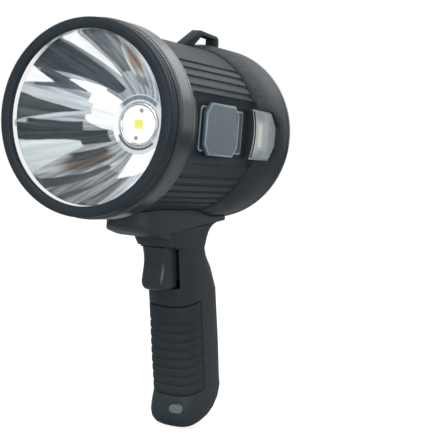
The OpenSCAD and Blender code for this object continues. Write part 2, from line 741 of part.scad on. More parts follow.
module button_board() color("#2f6b46") {
    difference() {
        across(button_board_x, board_t)
            polygon(cut_rect((button_board_ends[0] + button_board_ends[1]) / 2, panel_z,
                button_board_ends[1] - button_board_ends[0], 18, 2));
        for (s = button_post_places)
            side_rod(s, panel_z, fine_screw + 0.2, button_board_x - over, board_t + 2 * over);
    }
}

module button_switch() color("#202224") {
    base_x = button_board_x + board_t;
    head_box([base_x, button_s - 3, panel_z - 3], [base_x + 2.6, button_s + 3, panel_z + 3]);
    side_rod(button_s, panel_z, 1.7, base_x + 2.5, plunger_x - base_x - 2.5);
}

module button_board_screws() color("silver") {
    for (s = button_post_places) {
        side_rod(s, panel_z, fine_screw, button_board_x - 0.1, 5);
        side_rod(s, panel_z, fine_screw * 2, button_board_x - 1.6, 1.6);
    }
}

// Side lamp outline: front edge bowed in, rear corners cut
module lamp_outline(inset) {
    z0 = panel_z - lamp_h / 2 + inset;
    z1 = panel_z + lamp_h / 2 - inset;
    bow = 27;
    difference() {
        polygon([[lamp_s + inset, z0], [lamp_end - 8 - inset / 2, z0], [lamp_end - inset, z0 + 9],
            [lamp_end - inset, z1 - 9], [lamp_end - 9 - inset / 2, z1], [lamp_s + inset, z1]]);
        translate([lamp_s + inset + 5.2 - bow, panel_z]) circle(bow, $fn = 96);
    }
}

module side_lamp_lens() color("#e9eef0", 0.6) {
    difference() {
        union() {
            across(panel_x, lamp_t - 1) lamp_outline(0);
            across(panel_x, lamp_t) lamp_outline(1);
        }
        // Hollow over the tray
        head_box([panel_x - over, lamp_s + 6, panel_z - lamp_h / 2 + 6],
            [panel_x + lamp_t - 3, lamp_end - 6, panel_z + lamp_h / 2 - 6]);
    }
}

module side_lamp_tray() color("#f4f4f4") {
    g = fit_gap;
    difference() {
        head_box([tray_x, lamp_s + 4 + g, panel_z - lamp_h / 2 + 4 + g],
            [panel_x, lamp_end - 4 - g, panel_z + lamp_h / 2 - 4 - g]);
        head_box([tray_x + tray_t, lamp_s + 4 + g + tray_t, panel_z - lamp_h / 2 + 4 + g + tray_t],
            [panel_x + over, lamp_end - 4 - g - tray_t, panel_z + lamp_h / 2 - 4 - g - tray_t]);
    }
}

module side_lamp_board() color("#f0f0ea") {
    inset = 4 + fit_gap + tray_t + fit_gap;
    head_box([tray_x + tray_t, lamp_s + inset, panel_z - lamp_h / 2 + inset],
        [tray_x + tray_t + board_t, lamp_end - inset, panel_z + lamp_h / 2 - inset]);
}

module side_lamp_led() color("#f0e060") {
    x = tray_x + tray_t + board_t;
    s = (lamp_s + lamp_end) / 2 - 3;
    head_box([x, s - strip_w / 2, panel_z - strip_h / 2], [x + 1, s + strip_w / 2, panel_z + strip_h / 2]);
}

saddle_screw_places = [saddle_s + 14, ramp_s - 15];
module saddle() color("#2b2d30") {
    nose_round = saddle_w / 2;
    difference() {
        union() {
            intersection() {
                across(-saddle_w / 2, saddle_w)
                    polygon([[saddle_s, -barrel_r / 2], [saddle_s, -barrel_r - 5.6], [saddle_s + 3, -barrel_r - 9.4],
                        [saddle_s + 9, -barrel_r - 12], [saddle_s + 25, saddle_z - 2.9],
                        [chin_s, saddle_z - 3.7], [chin_s, joint_z(chin_s)], [saddle_end, joint_z(saddle_end)],
                        [saddle_end, -barrel_r / 2]]);
                // Plan: round nose, straight sides
                head() translate([0, 0, -2 * barrel_r]) linear_extrude(2 * barrel_r) union() {
                    translate([0, saddle_s + nose_round]) circle(nose_round);
                    translate([-saddle_w / 2, saddle_s + nose_round])
                        square([saddle_w, saddle_end - saddle_s - nose_round + over]);
                }
            }
            // Tongue clamped between the grip shells
            grip_box([-tongue_w / 2, tongue_t[0], tongue_end], [tongue_w / 2, tongue_t[1], joint_w(tongue_t[0]) + 5]);
        }
        barrel_outside(0.1);
        grip_pin(tongue_screw, grip_screw_r + 0.3, -tongue_w, 2 * tongue_w);
        grip_up(wire_t, tongue_end - over, wire_r, barrel_r);
        for (s = saddle_screw_places)
            up_rod(0, s, -barrel_r - 8, big_screw + screw_gap, 12);
    }
}

module saddle_screws() color("silver") {
    for (s = saddle_screw_places) {
        up_rod(0, s, -barrel_r - 7.5, big_screw, barrel_wall + 8);
        up_rod(0, s, -barrel_in + 0.2, big_screw * 1.9, 2.2);
    }
}

// One grip shell, on the +X side, as a closed skin with its hollow open to the top
module shell_half() {
    m = len(turns);
    inner_levels = concat([foot_w + foot_t], [for (w = shell_levels) if (w > foot_w + foot_t + 2) w]);
    outer = [for (w = shell_levels) for (t = turns) let (p = section(w, t, pad_depth(w, t)))
        [p[0], p[1], tilt(w, p[1])]];
    inner = [for (w = inner_levels) for (t = turns) let (p = section(w, t, grip_wall))
        [p[0], p[1], tilt(w, p[1])]];
    no = len(shell_levels);
    ni = len(inner_levels);
    base = no * m;
    out_faces = [for (i = [0:no - 2]) for (j = [0:m - 2]) let (a = i * m + j, b = a + 1, c = b + m, d = a + m)
        each [[a, c, b], [a, d, c]]];
    in_faces = [for (i = [0:ni - 2]) for (j = [0:m - 2])
        let (a = base + i * m + j, b = a + 1, c = b + m, d = a + m) each [[a, b, c], [a, c, d]]];
    top_faces = [for (j = [0:m - 2]) let (a = (no - 1) * m + j, b = a + 1, c = base + (ni - 1) * m + j, d = c + 1)
        each [[a, d, b], [a, c, d]]];
    foot_faces = [for (j = [1:m - 2]) [0, j, j + 1]];
    hollow_faces = [for (j = [1:m - 2]) [base, base + j + 1, base + j]];
    lift = no - ni;
    split_faces = concat(
        [for (k = [1:ni - 2]) let (a = (lift + k) * m, b = a + m, c = base + k * m, d = c + m, e = m - 1)
            each [[a, c, d], [a, d, b], [a + e, d + e, c + e], [a + e, b + e, d + e]]],
        [for (i = [0:lift]) let (a = i * m, b = a + m, c = base, e = m - 1)
            each [[a, c, b], [a + e, b + e, c + e]]],
        [let (a = (lift + 1) * m, c = base, d = base + m, e = m - 1)
            each [[a, c, d], [a + e, d + e, c + e]]],
        [[0, m - 1, base + m - 1], [0, base + m - 1, base]]);
    grip() polyhedron(concat(outer, inner),
        concat(out_faces, in_faces, top_faces, foot_faces, hollow_faces, split_faces), convexity = 10);
}

// Place in the middle of the foot: Z points out of it, Y to the front
module at_foot() grip() translate([0, socket_t, foot_w]) rotate([180, 0, 0]) children();

// Bosses and ribs that both shells share, drawn on the +X side
module shell_ribs() {
    depth = grip_w / 2 - grip_wall + 1;
    grip_pin(tongue_screw, grip_boss_r, tongue_w / 2 + 0.1, depth - tongue_w / 2 - 1.4);
    for (p = [rear_grip_screw, foot_grip_screw])
        grip_pin(p, grip_boss_r, 0, depth - 1.5);
    grip_pin(pivot, hub_r, trigger_w / 2 + move_gap, 4.6);
    // Wall behind the trigger
    grip_box([0, stop_at, slot_end + 3], [depth - 0.4, stop_at + stop_t, slot_top - 7]);
    // Ribs that hold the battery's sleeve, and the shelf under the cells
    for (w = [cell_end + 16, cell_top - 16])
        grip_box([cell_r + sleeve_t + 0.5, grip_pos - 8, w], [depth, grip_pos + 8, w + 2]);
    grip_box([0, grip_pos - 17, cell_end - 2.6], [depth - 2, grip_pos + 17, cell_end - 0.4]);
    // Ledges under the charging board
    grip_box([9, socket_t - 6, charge_board_w - 2], [depth, socket_t + 6, charge_board_w]);
}

// Cuts that both shells share
module shell_cuts() {
    grip_box([-over, trigger_front - 6, slot_end], [slot_w / 2, front_t + grip_wall + 3.5, slot_top]);
    grip_pin(pivot, trigger_pin_r + screw_gap, -over, trigger_w / 2 + 4.4);
    at_foot() {
        translate([0, 0, -flap_pocket]) cylinder(r = flap_r + flap_gap, h = flap_pocket + 4);
        translate([0, 0, -flap_pocket - socket_flange_t]) cylinder(r = socket_flange_r + fit_gap, h = 4);
        translate([0, 0, -foot_t - over]) cylinder(r = socket_r + fit_gap, h = foot_t);
        // Room for the flap's hinge
        translate([-hinge_len / 2 - 0.5, -hinge_out - hinge_r - 1, -flap_pocket])
            cube([hinge_len + 1, hinge_out, flap_pocket + 4]);
        translate([-hinge_len, -hinge_out, -hinge_r - 0.2])
            rotate([0, 90, 0]) cylinder(r = hinge_r + pin_gap, h = 2 * hinge_len);
    }
}

// Small window at the toe, set square to the grip's front
indicator_turn = 9;
indicator_w = foot_w + 16.5;
indicator_x = 6.6;
module indicator_shape(grow, depth, out) {
    half = 1.7;
    r = 3;
    grip() translate([indicator_x, front_at(indicator_w), indicator_w]) rotate([0, 0, indicator_turn])
        rotate([90, 0, 0]) translate([0, 0, -depth]) linear_extrude(depth + out) union() {
            translate([-half, 0]) circle(r + grow);
            translate([half, 0]) circle(r + grow);
            square([2 * half, 2 * (r + grow)], center = true);
        }
}

module grip_left() color("#2b2d30") {
    difference() {
        union() {
            shell_half();
            shell_ribs();
        }
        shell_cuts();
        for (p = grip_screw_places)
            grip_pin(p, grip_screw_r + screw_gap, -over, 10 + over);
        indicator_shape(0.15, 6, 6);
    }
}

module grip_right() color("#2b2d30") {
    mirror([1, 0, 0]) difference() {
        union() {
            shell_half();
            shell_ribs();
        }
        shell_cuts();
        for (p = grip_screw_places) {
            grip_pin(p, grip_screw_r + 0.25, -over, grip_w);
            grip_pin(p, grip_screw_r * 2 + 0.4, grip_seat_x, grip_w);
        }
    }
}

module grip_screws() color("silver") {
    for (p = grip_screw_places) {
        grip_pin(p, grip_screw_r, -grip_seat_x, grip_seat_x + 9);
        difference() {
            grip_pin(p, grip_screw_r * 2, -grip_seat_x - 2.4, 2.4);
            grip_pin(p, grip_screw_r * 0.9, -grip_seat_x - 2.6, 1.6);
        }
    }
}

// A rubber pad let into the grip, from one level and turn to another
module pad(levels, pad_turns, depth_at) {
    m = len(pad_turns);
    n = len(levels);
    function place(w, t, inset) = let (
            p = section(w, t > 90 ? 180 - t : t < -90 ? -180 - t : t, inset),
            side = abs(t) > 90 ? -1 : 1
        ) [side * p[0], p[1], w];
    outer = [for (w = levels) for (t = pad_turns) place(w, t, depth_at(w))];
    inner = [for (w = levels) for (t = pad_turns) place(w, t, pad_t)];
    base = n * m;
    faces = concat(
        [for (i = [0:n - 2]) for (j = [0:m - 2]) let (a = i * m + j, b = a + 1, c = b + m, d = a + m)
            each [[a, c, b], [a, d, c], [base + a, base + b, base + c], [base + a, base + c, base + d]]],
        [for (j = [0:m - 2]) let (a = j, b = j + 1, c = (n - 1) * m + j, d = c + 1)
            each [[a, b, base + b], [a, base + b, base + a], [c, base + c, base + d], [c, base + d, d]]],
        [for (i = [0:n - 2]) let (a = i * m, b = a + m, c = a + m - 1, d = c + m)
            each [[a, base + a, base + b], [a, base + b, b], [c, d, base + d], [c, base + d, base + c]]]);
    grip() polyhedron(concat(outer, inner), faces, convexity = 10);
}

pad_inset = 0.5;
pad_from = pad_end + pad_edge + pad_inset;
pad_to = pad_top - pad_edge - pad_inset;
groove_step = (pad_to - pad_from) / (pad_grooves + 1);
pad_levels = concat([pad_from], [for (i = [1:pad_grooves]) let (w = pad_from + i * groove_step)
    each [w - 1.4, w - 0.7, w + 0.7, w + 1.4]], [pad_to]);
function pad_groove(w) = let (n = (w - pad_from) / groove_step, d = abs(n - round(n)) * groove_step)
    round(n) > 0 && round(n) < pad_grooves && d < 1 ? 0.7 : 0;
module grip_pad() color("#202224") {
    edge = pad_turn - turn_edge - 1;
    half = concat([edge, edge - 8], [for (t = [-25:-10:-75]) t]);
    pad(pad_levels, concat([for (t = half) -180 - t], [-90], [for (i = [len(half) - 1:-1:0]) half[i]]),
        function(w) pad_groove(w));
}

module back_strap() color("#17181a") {
    edge = strap_turn + turn_edge + 1;
    levels = [for (i = [0:9]) strap_end + pad_edge + pad_inset
        + i * (strap_top - strap_end - 2 * pad_edge - 2 * pad_inset) / 9];
    half = [edge, 66, 75, 82];
    pad(levels, concat(half, [90], [for (i = [len(half) - 1:-1:0]) 180 - half[i]]), function(w) 0.1);
}

module trigger() color("#26282b") {
    corner = 5;
    difference() {
        union() {
            intersection() {
                grip_across(-trigger_w / 2, trigger_w)
                    polygon([[trigger_front + 2.6, trigger_top], [trigger_front + 3.6, trigger_top - 6],
                        [trigger_front + 3.4, trigger_top - 12], [trigger_front + 1.6, trigger_top - 18],
                        [trigger_front, trigger_end + 7.4], [trigger_front + 0.4, trigger_end + 4],
                        [trigger_front + 4, trigger_end], [trigger_back, trigger_end], [trigger_back, spring_w + 8],
                        [pivot[0] + hub_r - 0.6, pivot[1] - 2], [pivot[0], pivot[1] + hub_r - 0.6],
                        [pivot[0] - 4, pivot[1] + 0.5], [pivot[0] - 6, trigger_top]]);
                // Rounded front corners
                grip() translate([0, 0, trigger_end - over]) linear_extrude(trigger_h + 20)
                    polygon(concat([[trigger_w / 2, trigger_back + 10], [-trigger_w / 2, trigger_back + 10]],
                        [for (a = [0:18:90]) [-trigger_w / 2 + corner - corner * cos(a),
                            trigger_front + corner - corner * sin(a)]],
                        [for (a = [90:-18:0]) [trigger_w / 2 - corner + corner * cos(a),
                            trigger_front + corner - corner * sin(a)]]));
            }
            grip_pin(pivot, hub_r, -trigger_w / 2, trigger_w);
        }
        grip_pin(pivot, trigger_pin_r + pin_gap, -trigger_w, 2 * trigger_w);
        // Seat of the spring
        grip() translate([0, trigger_back - spring_seat, spring_w]) rotate([-90, 0, 0])
            cylinder(r = spring_r + spring_wire + 0.5, h = spring_seat + over);
    }
}

module trigger_pin() color("silver") {
    grip_pin(pivot, trigger_pin_r, -trigger_w / 2 - 3, trigger_w + 6);
}

module trigger_spring() color("silver") {
    grip() translate([0, trigger_back - spring_seat + 0.05, spring_w]) rotate([-90, 0, 0])
        coil(spring_r, spring_wire, stop_at - trigger_back + spring_seat - 0.1, 6);
}

module trigger_switch() color("#202224") {
    switch_w = spring_w + 9.4;
    tip = trigger_back + 3.2;
    body = stop_at - 4.6;
    grip_box([-5, body, switch_w - 3], [5, stop_at, switch_w + 3]);
    grip() translate([0, tip, switch_w]) rotate([-90, 0, 0]) cylinder(r = 1.2, h = body - tip + 0.1);
}

cell_places = [grip_pos - cell_r - 0.3, grip_pos + cell_r + 0.3];
module battery_cells() color("#3f7fbf") {
    for (t = cell_places) {
        grip_up(t, cell_end, cell_r, cell_len - 1);
        grip_up(t, cell_top - 1.1, 2.8, 1.1);
    }
}

module battery_sleeve() color("#1c6f8a") {
    hold = cell_r + 0.1;
    grip() translate([0, 0, cell_end + 2]) linear_extrude(cell_len - 6) difference() {
        union() {
            for (t = cell_places)
                translate([0, t]) circle(hold + sleeve_t);
            translate([-hold - sleeve_t, cell_places[0]])
                square([2 * (hold + sleeve_t), cell_places[1] - cell_places[0]]);
        }
        for (t = cell_places)
            translate([0, t]) circle(hold);
    }
}

module battery_tabs() color("#c9ccce") {
    grip_box([-4, cell_places[0] - 4, cell_end - 0.4], [4, cell_places[1] + 4, cell_end]);
    for (t = cell_places)
        grip_box([-3, t - 4, cell_top], [3, t + 4, cell_top + 0.4]);
}

module charge_board() color("#2f6b46") {
    grip_box([-10.5, socket_t - 10.5, charge_board_w], [10.5, socket_t + 10.5, charge_board_w + board_t]);
}

module charge_socket() color("#1d1f21") {
    at_foot() difference() {
        union() {
            translate([0, 0, -flap_pocket - socket_flange_t]) cylinder(r = socket_flange_r, h = socket_flange_t);
            translate([0, 0, -socket_depth]) cylinder(r = socket_r, h = socket_depth - flap_pocket - socket_flange_t);
        }
        translate([0, 0, -socket_depth + 1.5]) difference() {
            cylinder(r = well_r, h = socket_depth);
            cylinder(r = 1, h = socket_depth - flap_pocket - 3.5);
        }
    }
}

module charge_cap() color("#151617") {
    at_foot() {
        translate([0, 0, -flap_t]) cylinder(r = flap_r, h = flap_t);
        translate([0, 0, -flap_t - 1.2]) cylinder(r = plug_r, h = 1.4);
        // Arm and hinge
        translate([-hinge_len / 2 + 1, -hinge_out, -hinge_r * 2 + 0.2])
            cube([hinge_len - 2, hinge_out - 2, hinge_r * 2 - 0.4]);
        translate([-hinge_len + 2, -hinge_out, -hinge_r - 0.2])
            rotate([0, 90, 0]) cylinder(r = hinge_r, h = 2 * hinge_len - 4);
    }
}

module charge_indicator() color("#b9bec2") {
    indicator_shape(0, 5, 0.3);
}

front_bezel();
lens_gasket();
front_lens();
reflector();
head_collar();
barrel();
rear_cap();
rear_gasket();
rear_cap_screws();
strap_loop();
strap_loop_screws();
led_board();
led_emitter();
led_retainer();
led_screws();
heat_sink();
heat_sink_screws();
driver_board();
driver_board_screws();
driver_inductor();
driver_capacitors();
button_frame();
side_button();
button_spring();
button_board();
button_switch();
button_board_screws();
side_lamp_lens();
side_lamp_tray();
side_lamp_board();
side_lamp_led();
saddle();
saddle_screws();
grip_left();
grip_right();
grip_screws();
grip_pad();
back_strap();
trigger();
trigger_pin();
trigger_spring();
trigger_switch();
battery_cells();
battery_sleeve();
battery_tabs();
charge_board();
charge_socket();
charge_cap();
charge_indicator();
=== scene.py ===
"""Looks of the pistol-grip spotlight: its visible pieces, their finishes, the light and the camera."""

import logging
import math
from dataclasses import dataclass, field
from enum import Enum

import bmesh
import bpy
from mathutils import Matrix, Vector


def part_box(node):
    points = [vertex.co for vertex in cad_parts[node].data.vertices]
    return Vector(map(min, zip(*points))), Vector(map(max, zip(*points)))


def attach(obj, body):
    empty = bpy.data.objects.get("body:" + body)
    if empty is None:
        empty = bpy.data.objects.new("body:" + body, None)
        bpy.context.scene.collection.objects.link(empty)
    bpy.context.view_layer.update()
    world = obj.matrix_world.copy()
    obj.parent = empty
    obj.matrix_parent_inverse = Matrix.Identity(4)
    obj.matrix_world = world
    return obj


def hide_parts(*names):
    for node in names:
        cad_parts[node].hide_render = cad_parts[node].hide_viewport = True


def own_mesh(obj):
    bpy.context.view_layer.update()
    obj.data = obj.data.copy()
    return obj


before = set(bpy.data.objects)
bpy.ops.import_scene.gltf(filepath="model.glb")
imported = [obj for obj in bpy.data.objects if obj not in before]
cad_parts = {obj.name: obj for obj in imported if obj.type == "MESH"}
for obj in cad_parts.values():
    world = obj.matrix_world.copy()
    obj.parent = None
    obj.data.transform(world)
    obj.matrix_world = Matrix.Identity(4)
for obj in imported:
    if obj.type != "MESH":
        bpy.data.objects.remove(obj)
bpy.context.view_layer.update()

log = logging.getLogger("spotlight")
MM = 0.001
# Distances in metres below which points are one: in a CAD mesh, along a spin's seam, anywhere else.
CAD_WELD = 0.00002
SEAM_WELD = 0.000002
WELD = 0.000001
# A flat is larger than this, in square metres, and meets its neighbours in one plane or at a clear angle.
FLAT_AREA = 0.00002
COPLANAR = math.radians(0.3)
FACET = math.radians(9.0)
# CAD faces that turn less than JOINED become one; edges that turn more than SHARP are rounded, and those that turn
# more than CREASE are shaded sharp.
JOINED = math.radians(0.5)
SHARP = math.radians(30)
CREASE = math.radians(38)
# The grip leans back by this angle.
LEAN = math.radians(14.8)
Colour = tuple[float, float, float]
Outline = list[tuple[float, float]]


class Body(Enum):
    """The moving bodies of the light."""

    LIGHT = "light"
    TRIGGER = "trigger"
    BUTTON = "side_button"
    FLAP = "charge_cap"


class Wire:
    """A number in a material's node tree that takes the usual operators."""

    def __init__(self, tree: "Tree", socket: bpy.types.NodeSocket) -> None:
        """Keeps the tree and the output socket the number comes from."""
        self.tree = tree
        self.socket = socket

    def _math(self, kind: str, first: "Wire | float", second: "Wire | float") -> "Wire":
        """Adds one Math node.

        Args:
            kind: The node's operation.
            first: Its first operand.
            second: Its second operand.
        Returns:
            The result as a new wire.
        """
        return self.tree.node("ShaderNodeMath", {"operation": kind}, {0: first, 1: second})

    def __add__(self, other: "Wire | float") -> "Wire":
        """Sum with another number."""
        return self._math("ADD", self, other)

    def __radd__(self, other: float) -> "Wire":
        """Sum with a plain number on the left."""
        return self._math("ADD", other, self)

    def __sub__(self, other: "Wire | float") -> "Wire":
        """Difference from another number."""
        return self._math("SUBTRACT", self, other)

    def __rsub__(self, other: float) -> "Wire":
        """Difference from a plain number on the left."""
        return self._math("SUBTRACT", other, self)

    def __mul__(self, other: "Wire | float") -> "Wire":
        """Product with another number."""
        return self._math("MULTIPLY", self, other)

    def __rmul__(self, other: float) -> "Wire":
        """Product with a plain number on the left."""
        return self._math("MULTIPLY", other, self)

    def __truediv__(self, other: "Wire | float") -> "Wire":
        """Quotient by another number."""
        return self._math("DIVIDE", self, other)

    def __rtruediv__(self, other: float) -> "Wire":
        """Quotient of a plain number by this one."""
        return self._math("DIVIDE", other, self)

    def most(self, other: "Wire | float") -> "Wire":
        """The larger of the two numbers."""
        return self._math("MAXIMUM", self, other)

    def turn(self, other: "Wire | float") -> "Wire":
        """The angle whose tangent is this number over the other."""
        return self._math("ARCTAN2", self, other)

    def ramp(self, low: float, high: float) -> "Wire":
        """A smooth step from 0 to 1.

        Args:
            low: Where the step starts.
            high: Where the step ends; it may lie below low, which turns the step round.
        Returns:
            The step as a new wire.
        """
        return self.tree.node(
            "ShaderNodeMapRange",
            {"interpolation_type": "SMOOTHSTEP"},
            {"Value": self, "From Min": low, "From Max": high, "To Min": 0.0, "To Max": 1.0},
        )


class Tree:
    """The node tree of one material or of the world, with its shader."""

    def __init__(self, owner: bpy.types.Material | bpy.types.World) -> None:
        """Opens the node tree of a new material or world."""
        owner.use_nodes = True
        self.owner = owner
        self.body = owner.node_tree
        self.shader = self.body.nodes["Background" if isinstance(owner, bpy.types.World) else "Principled BSDF"]
        self.place = self.body.nodes.new("ShaderNodeTexCoord").outputs["Object"]

    def join(self, socket: bpy.types.NodeSocket, value: object) -> None:
        """Puts a value, a wire or a socket into an input.

        Args:
            socket: The input.
            value: A number, a colour or vector, a wire or an output socket.
        """
        if isinstance(value, Wire):
            value = value.socket
        if isinstance(value, bpy.types.NodeSocket):
            self.body.links.new(value, socket)
        elif socket.type == "RGBA":
            socket.default_value = (*value, 1.0)
        else:
            socket.default_value = value

    def node(self, kind: str, settings: dict, inputs: dict, output: int | str = 0) -> Wire:
        """Adds a node.

        Args:
            kind: The node's type.
            settings: Its properties, set before its inputs.
            inputs: Values by input name or number.
            output: Name or number of the output wanted.
        Returns:
            That output as a wire.
        """
        made = self.body.nodes.new(kind)
        for key, value in settings.items():
            setattr(made, key, value)
        for key, value in inputs.items():
            if isinstance(key, int):
                socket = made.inputs[key]
            else:
                socket = next(s for s in made.inputs if s.enabled and s.name == key)
            self.join(socket, value)
        outs = [s for s in made.outputs if s.enabled]
        return Wire(self, outs[output] if isinstance(output, int) else made.outputs[output])

    def noise(self, scale: float, detail: float = 3.0, vector: object = None) -> Wire:
        """Noise between 0 and 1.

        Args:
            scale: Waves to the metre.
            detail: Octaves.
            vector: Where to read it; the object's own place if left out.
        Returns:
            The noise as a wire.
        """
        where = self.place if vector is None else vector
        return self.node("ShaderNodeTexNoise", {}, {"Vector": where, "Scale": scale, "Detail": detail})

    def stretched(self, scale: Colour) -> Wire:
        """The object's place, stretched along its axes by the given factors."""
        return self.node("ShaderNodeVectorMath", {"operation": "MULTIPLY"}, {0: self.place, 1: scale})

    def blend(self, factor: Wire, first: object, second: object) -> Wire:
        """Mixes two colours.

        Args:
            factor: 0 gives the first and 1 the second.
            first: Colour or wire.
            second: Colour or wire.
        Returns:
            The mixed colour as a wire.
        """
        return self.node("ShaderNodeMix", {"data_type": "RGBA"}, {"Factor": factor, "A": first, "B": second})

    def length(self, vector: object) -> Wire:
        """How long a vector is."""
        return self.node("ShaderNodeVectorMath", {"operation": "LENGTH"}, {0: vector}, "Value")

    def relief(self, height: Wire, depth: float, strength: float = 1.0) -> Wire:
        """Turns a height into a normal.

        Args:
            height: Height between 0 and 1.
            depth: What a height of 1 means, in metres.
            strength: How much of it shows.
        Returns:
            The normal as a wire.
        """
        return self.node("ShaderNodeBump", {}, {"Height": height, "Distance": depth, "Strength": strength})

    def dress(self, **inputs: object) -> bpy.types.Material | bpy.types.World:
        """Fills the shader's inputs, named with _ for a space, and returns the tree's owner."""
        for key, value in inputs.items():
            self.join(self.shader.inputs[key.replace("_", " ")], value)
        return self.owner


@dataclass(frozen=True)
class Finish:
    """What every finish has: a name, the slot it belongs to and its two colours."""

    name: str
    slot: str
    colour: Colour
    second: Colour

    def make(self) -> bpy.types.Material:
        """Builds the material once and gives the same one after that."""
        known = bpy.data.materials.get(self.name)
        return known if known else self.build(Tree(bpy.data.materials.new(self.name)))

    def build(self, tree: Tree) -> bpy.types.Material:
        """Fills the tree; each kind of finish has its own way."""
        raise NotImplementedError


@dataclass(frozen=True)
class Moulded(Finish):
    """Moulded plastic or rubber with a fine grain."""

    roughness: float = 0.42
    spread: float = 0.08
    grain: float = 3200.0
    depth: float = 0.00006
    shine: float = 0.4
    clouds: float = 24.0
    handling: float = 70.0

    def build(self, tree: Tree) -> bpy.types.Material:
        """Grain as relief, a slow change of colour and of roughness."""
        slow = tree.noise(self.clouds, 2.0)
        fine = tree.noise(self.grain, 2.0)
        handled = tree.noise(self.handling, 4.0)
        return tree.dress(
            Base_Color=tree.blend(slow.ramp(0.3, 0.7), self.colour, self.second),
            Roughness=handled * (2.0 * self.spread) + (self.roughness - self.spread),
            Normal=tree.relief(fine, self.depth),
            Specular_IOR_Level=self.shine,
        )


@dataclass(frozen=True)
class Plated(Finish):
    """Bare or plated metal with brush marks along one direction."""

    roughness: float = 0.28
    spread: float = 0.07
    brush: Colour = (900.0, 60.0, 900.0)
    depth: float = 0.00002
    clouds: float = 45.0

    def build(self, tree: Tree) -> bpy.types.Material:
        """Brush marks in roughness and relief, a slow change of colour."""
        marks = tree.noise(1.0, 4.0, tree.stretched(self.brush))
        slow = tree.noise(self.clouds, 2.0)
        return tree.dress(
            Base_Color=tree.blend(slow, self.colour, self.second),
            Metallic=1.0,
            Roughness=marks * (2.0 * self.spread) + (self.roughness - self.spread),
            Normal=tree.relief(marks, self.depth),
        )


@dataclass(frozen=True)
class ReflectionPatch:
    """One painted reflection on the mirror dish, a patch by angle about the axis and by radius.

    It runs from an inner to an outer radius, in millimetres. Its middle and half its width, in degrees, change
    evenly between the two. edge and fade soften its sides and ends, streak is the tone of its streaks against its
    shade, and a still patch does not wander.
    """

    shade: Colour
    inner: float
    outer: float
    angle_in: float
    angle_out: float
    half_in: float
    half_out: float
    edge: float = 1.5
    fade: float = 0.4
    streak: float = 0.75
    still: bool = False

    def cover(self, tree: Tree, angle: Wire, radius: Wire) -> Wire:
        """How much of the dish the patch covers.

        Args:
            tree: The material's tree.
            angle: Angle about the axis, in degrees.
            radius: Distance from the axis, in millimetres.
        Returns:
            1 inside the patch and 0 outside.
        """
        along = (radius - self.inner) * (1.0 / (self.outer - self.inner))
        middle = along * (self.angle_out - self.angle_in) + self.angle_in
        half = along * (self.half_out - self.half_in) + self.half_in
        apart = tree.node("ShaderNodeMath", {"operation": "WRAP"}, {0: angle - middle, 1: 180.0, 2: -180.0})
        away = tree.node("ShaderNodeMath", {"operation": "ABSOLUTE"}, {0: apart})
        across = (half - away).ramp(0.0, self.edge)
        starts = radius.ramp(self.inner - self.fade, self.inner + self.fade)
        ends = radius.ramp(self.outer + self.fade, self.outer - self.fade)
        return across * starts * ends


@dataclass(frozen=True)
class Mirror(Finish):
    """Vacuum-plated dish with painted reflections: patches and streaks that run to its middle, in its colour and
    in a painted glow.
    """

    height: float = 0.2
    patches: tuple[ReflectionPatch, ...] = ()
    swing: float = 9.0
    shift: float = 4.0
    wander_rise: float = 7.0
    streak_rise: float = 1.6
    lift: float = 0.01
    glow: float = 0.88
    under: Colour = (0.02, 0.02, 0.02)

    def build(self, tree: Tree) -> bpy.types.Material:
        """Painted reflections: patches by angle and radius about the head's axis, with a little wander and fine
        streaks, in the base colour and again as a painted glow.
        """
        x, y, z = (tree.node("ShaderNodeSeparateXYZ", {}, {0: tree.place}, k) for k in range(3))
        up = z - self.height
        length = tree.length(tree.node("ShaderNodeCombineXYZ", {}, {0: x, 1: up}))
        rays, long_rays = (
            tree.node("ShaderNodeCombineXYZ", {}, {0: x / length, 1: up / length, 2: y * rise})
            for rise in (self.wander_rise, self.streak_rise)
        )
        wander = tree.noise(3.2, 3.0, rays) - 0.5
        still = (up.turn(x) * (180.0 / math.pi), length * (1.0 / MM))
        loose = (still[0] + wander * self.swing, still[1] + wander * self.shift)
        fine = tree.noise(14.0, 4.0, long_rays).ramp(0.36, 0.66)
        paint = tree.blend(fine, self.colour, self.second)
        for patch in self.patches:
            streaked = tuple(c * patch.streak + self.lift for c in patch.shade)
            shade = tree.blend(fine, patch.shade, streaked)
            paint = tree.blend(patch.cover(tree, *(still if patch.still else loose)), paint, shade)
        # The painted reflections set the base colour and also glow as emission, which is painted light.
        return tree.dress(
            Base_Color=tree.blend(fine * 0.1 + 0.7, paint, self.under),
            Metallic=1.0,
            Emission_Color=paint,
            Emission_Strength=self.glow,
            Roughness=tree.noise(60.0) * 0.05 + 0.06,
            Normal=tree.relief(tree.noise(32.0, 1.0), 0.0004, 0.4),
        )


@dataclass(frozen=True)
class Clear(Finish):
    """Clear or frosted plastic that lets what lies behind it show."""

    roughness: float = 0.03
    cover: float = 0.01
    mottle: float = 0.01
    depth: float = 0.00001

    def build(self, tree: Tree) -> bpy.types.Material:
        """A thin veil of colour with a very light ripple."""
        slow = tree.noise(35.0, 2.0)
        return tree.dress(
            Base_Color=tree.blend(slow, self.colour, self.second),
            Roughness=slow * 0.04 + self.roughness,
            Alpha=tree.noise(90.0) * self.mottle + self.cover,
            Normal=tree.relief(tree.noise(500.0), self.depth),
            Specular_IOR_Level=0.3,
        )


@dataclass(frozen=True)
class PaintedGlow(Finish):
    """Material for the emitter parts whose glow is painted light: it makes them brighter than the lamps alone do.
    """

    glow: float = 0.4

    def build(self, tree: Tree) -> bpy.types.Material:
        """Speckled colour that also glows as painted light."""
        speck = tree.noise(2500.0, 2.0)
        paint = tree.blend(speck, self.colour, self.second)
        return tree.dress(
            Base_Color=paint,
            Emission_Color=paint,
            Emission_Strength=self.glow,
            Roughness=speck * 0.2 + 0.4,
            Normal=tree.relief(speck, 0.00003),
        )


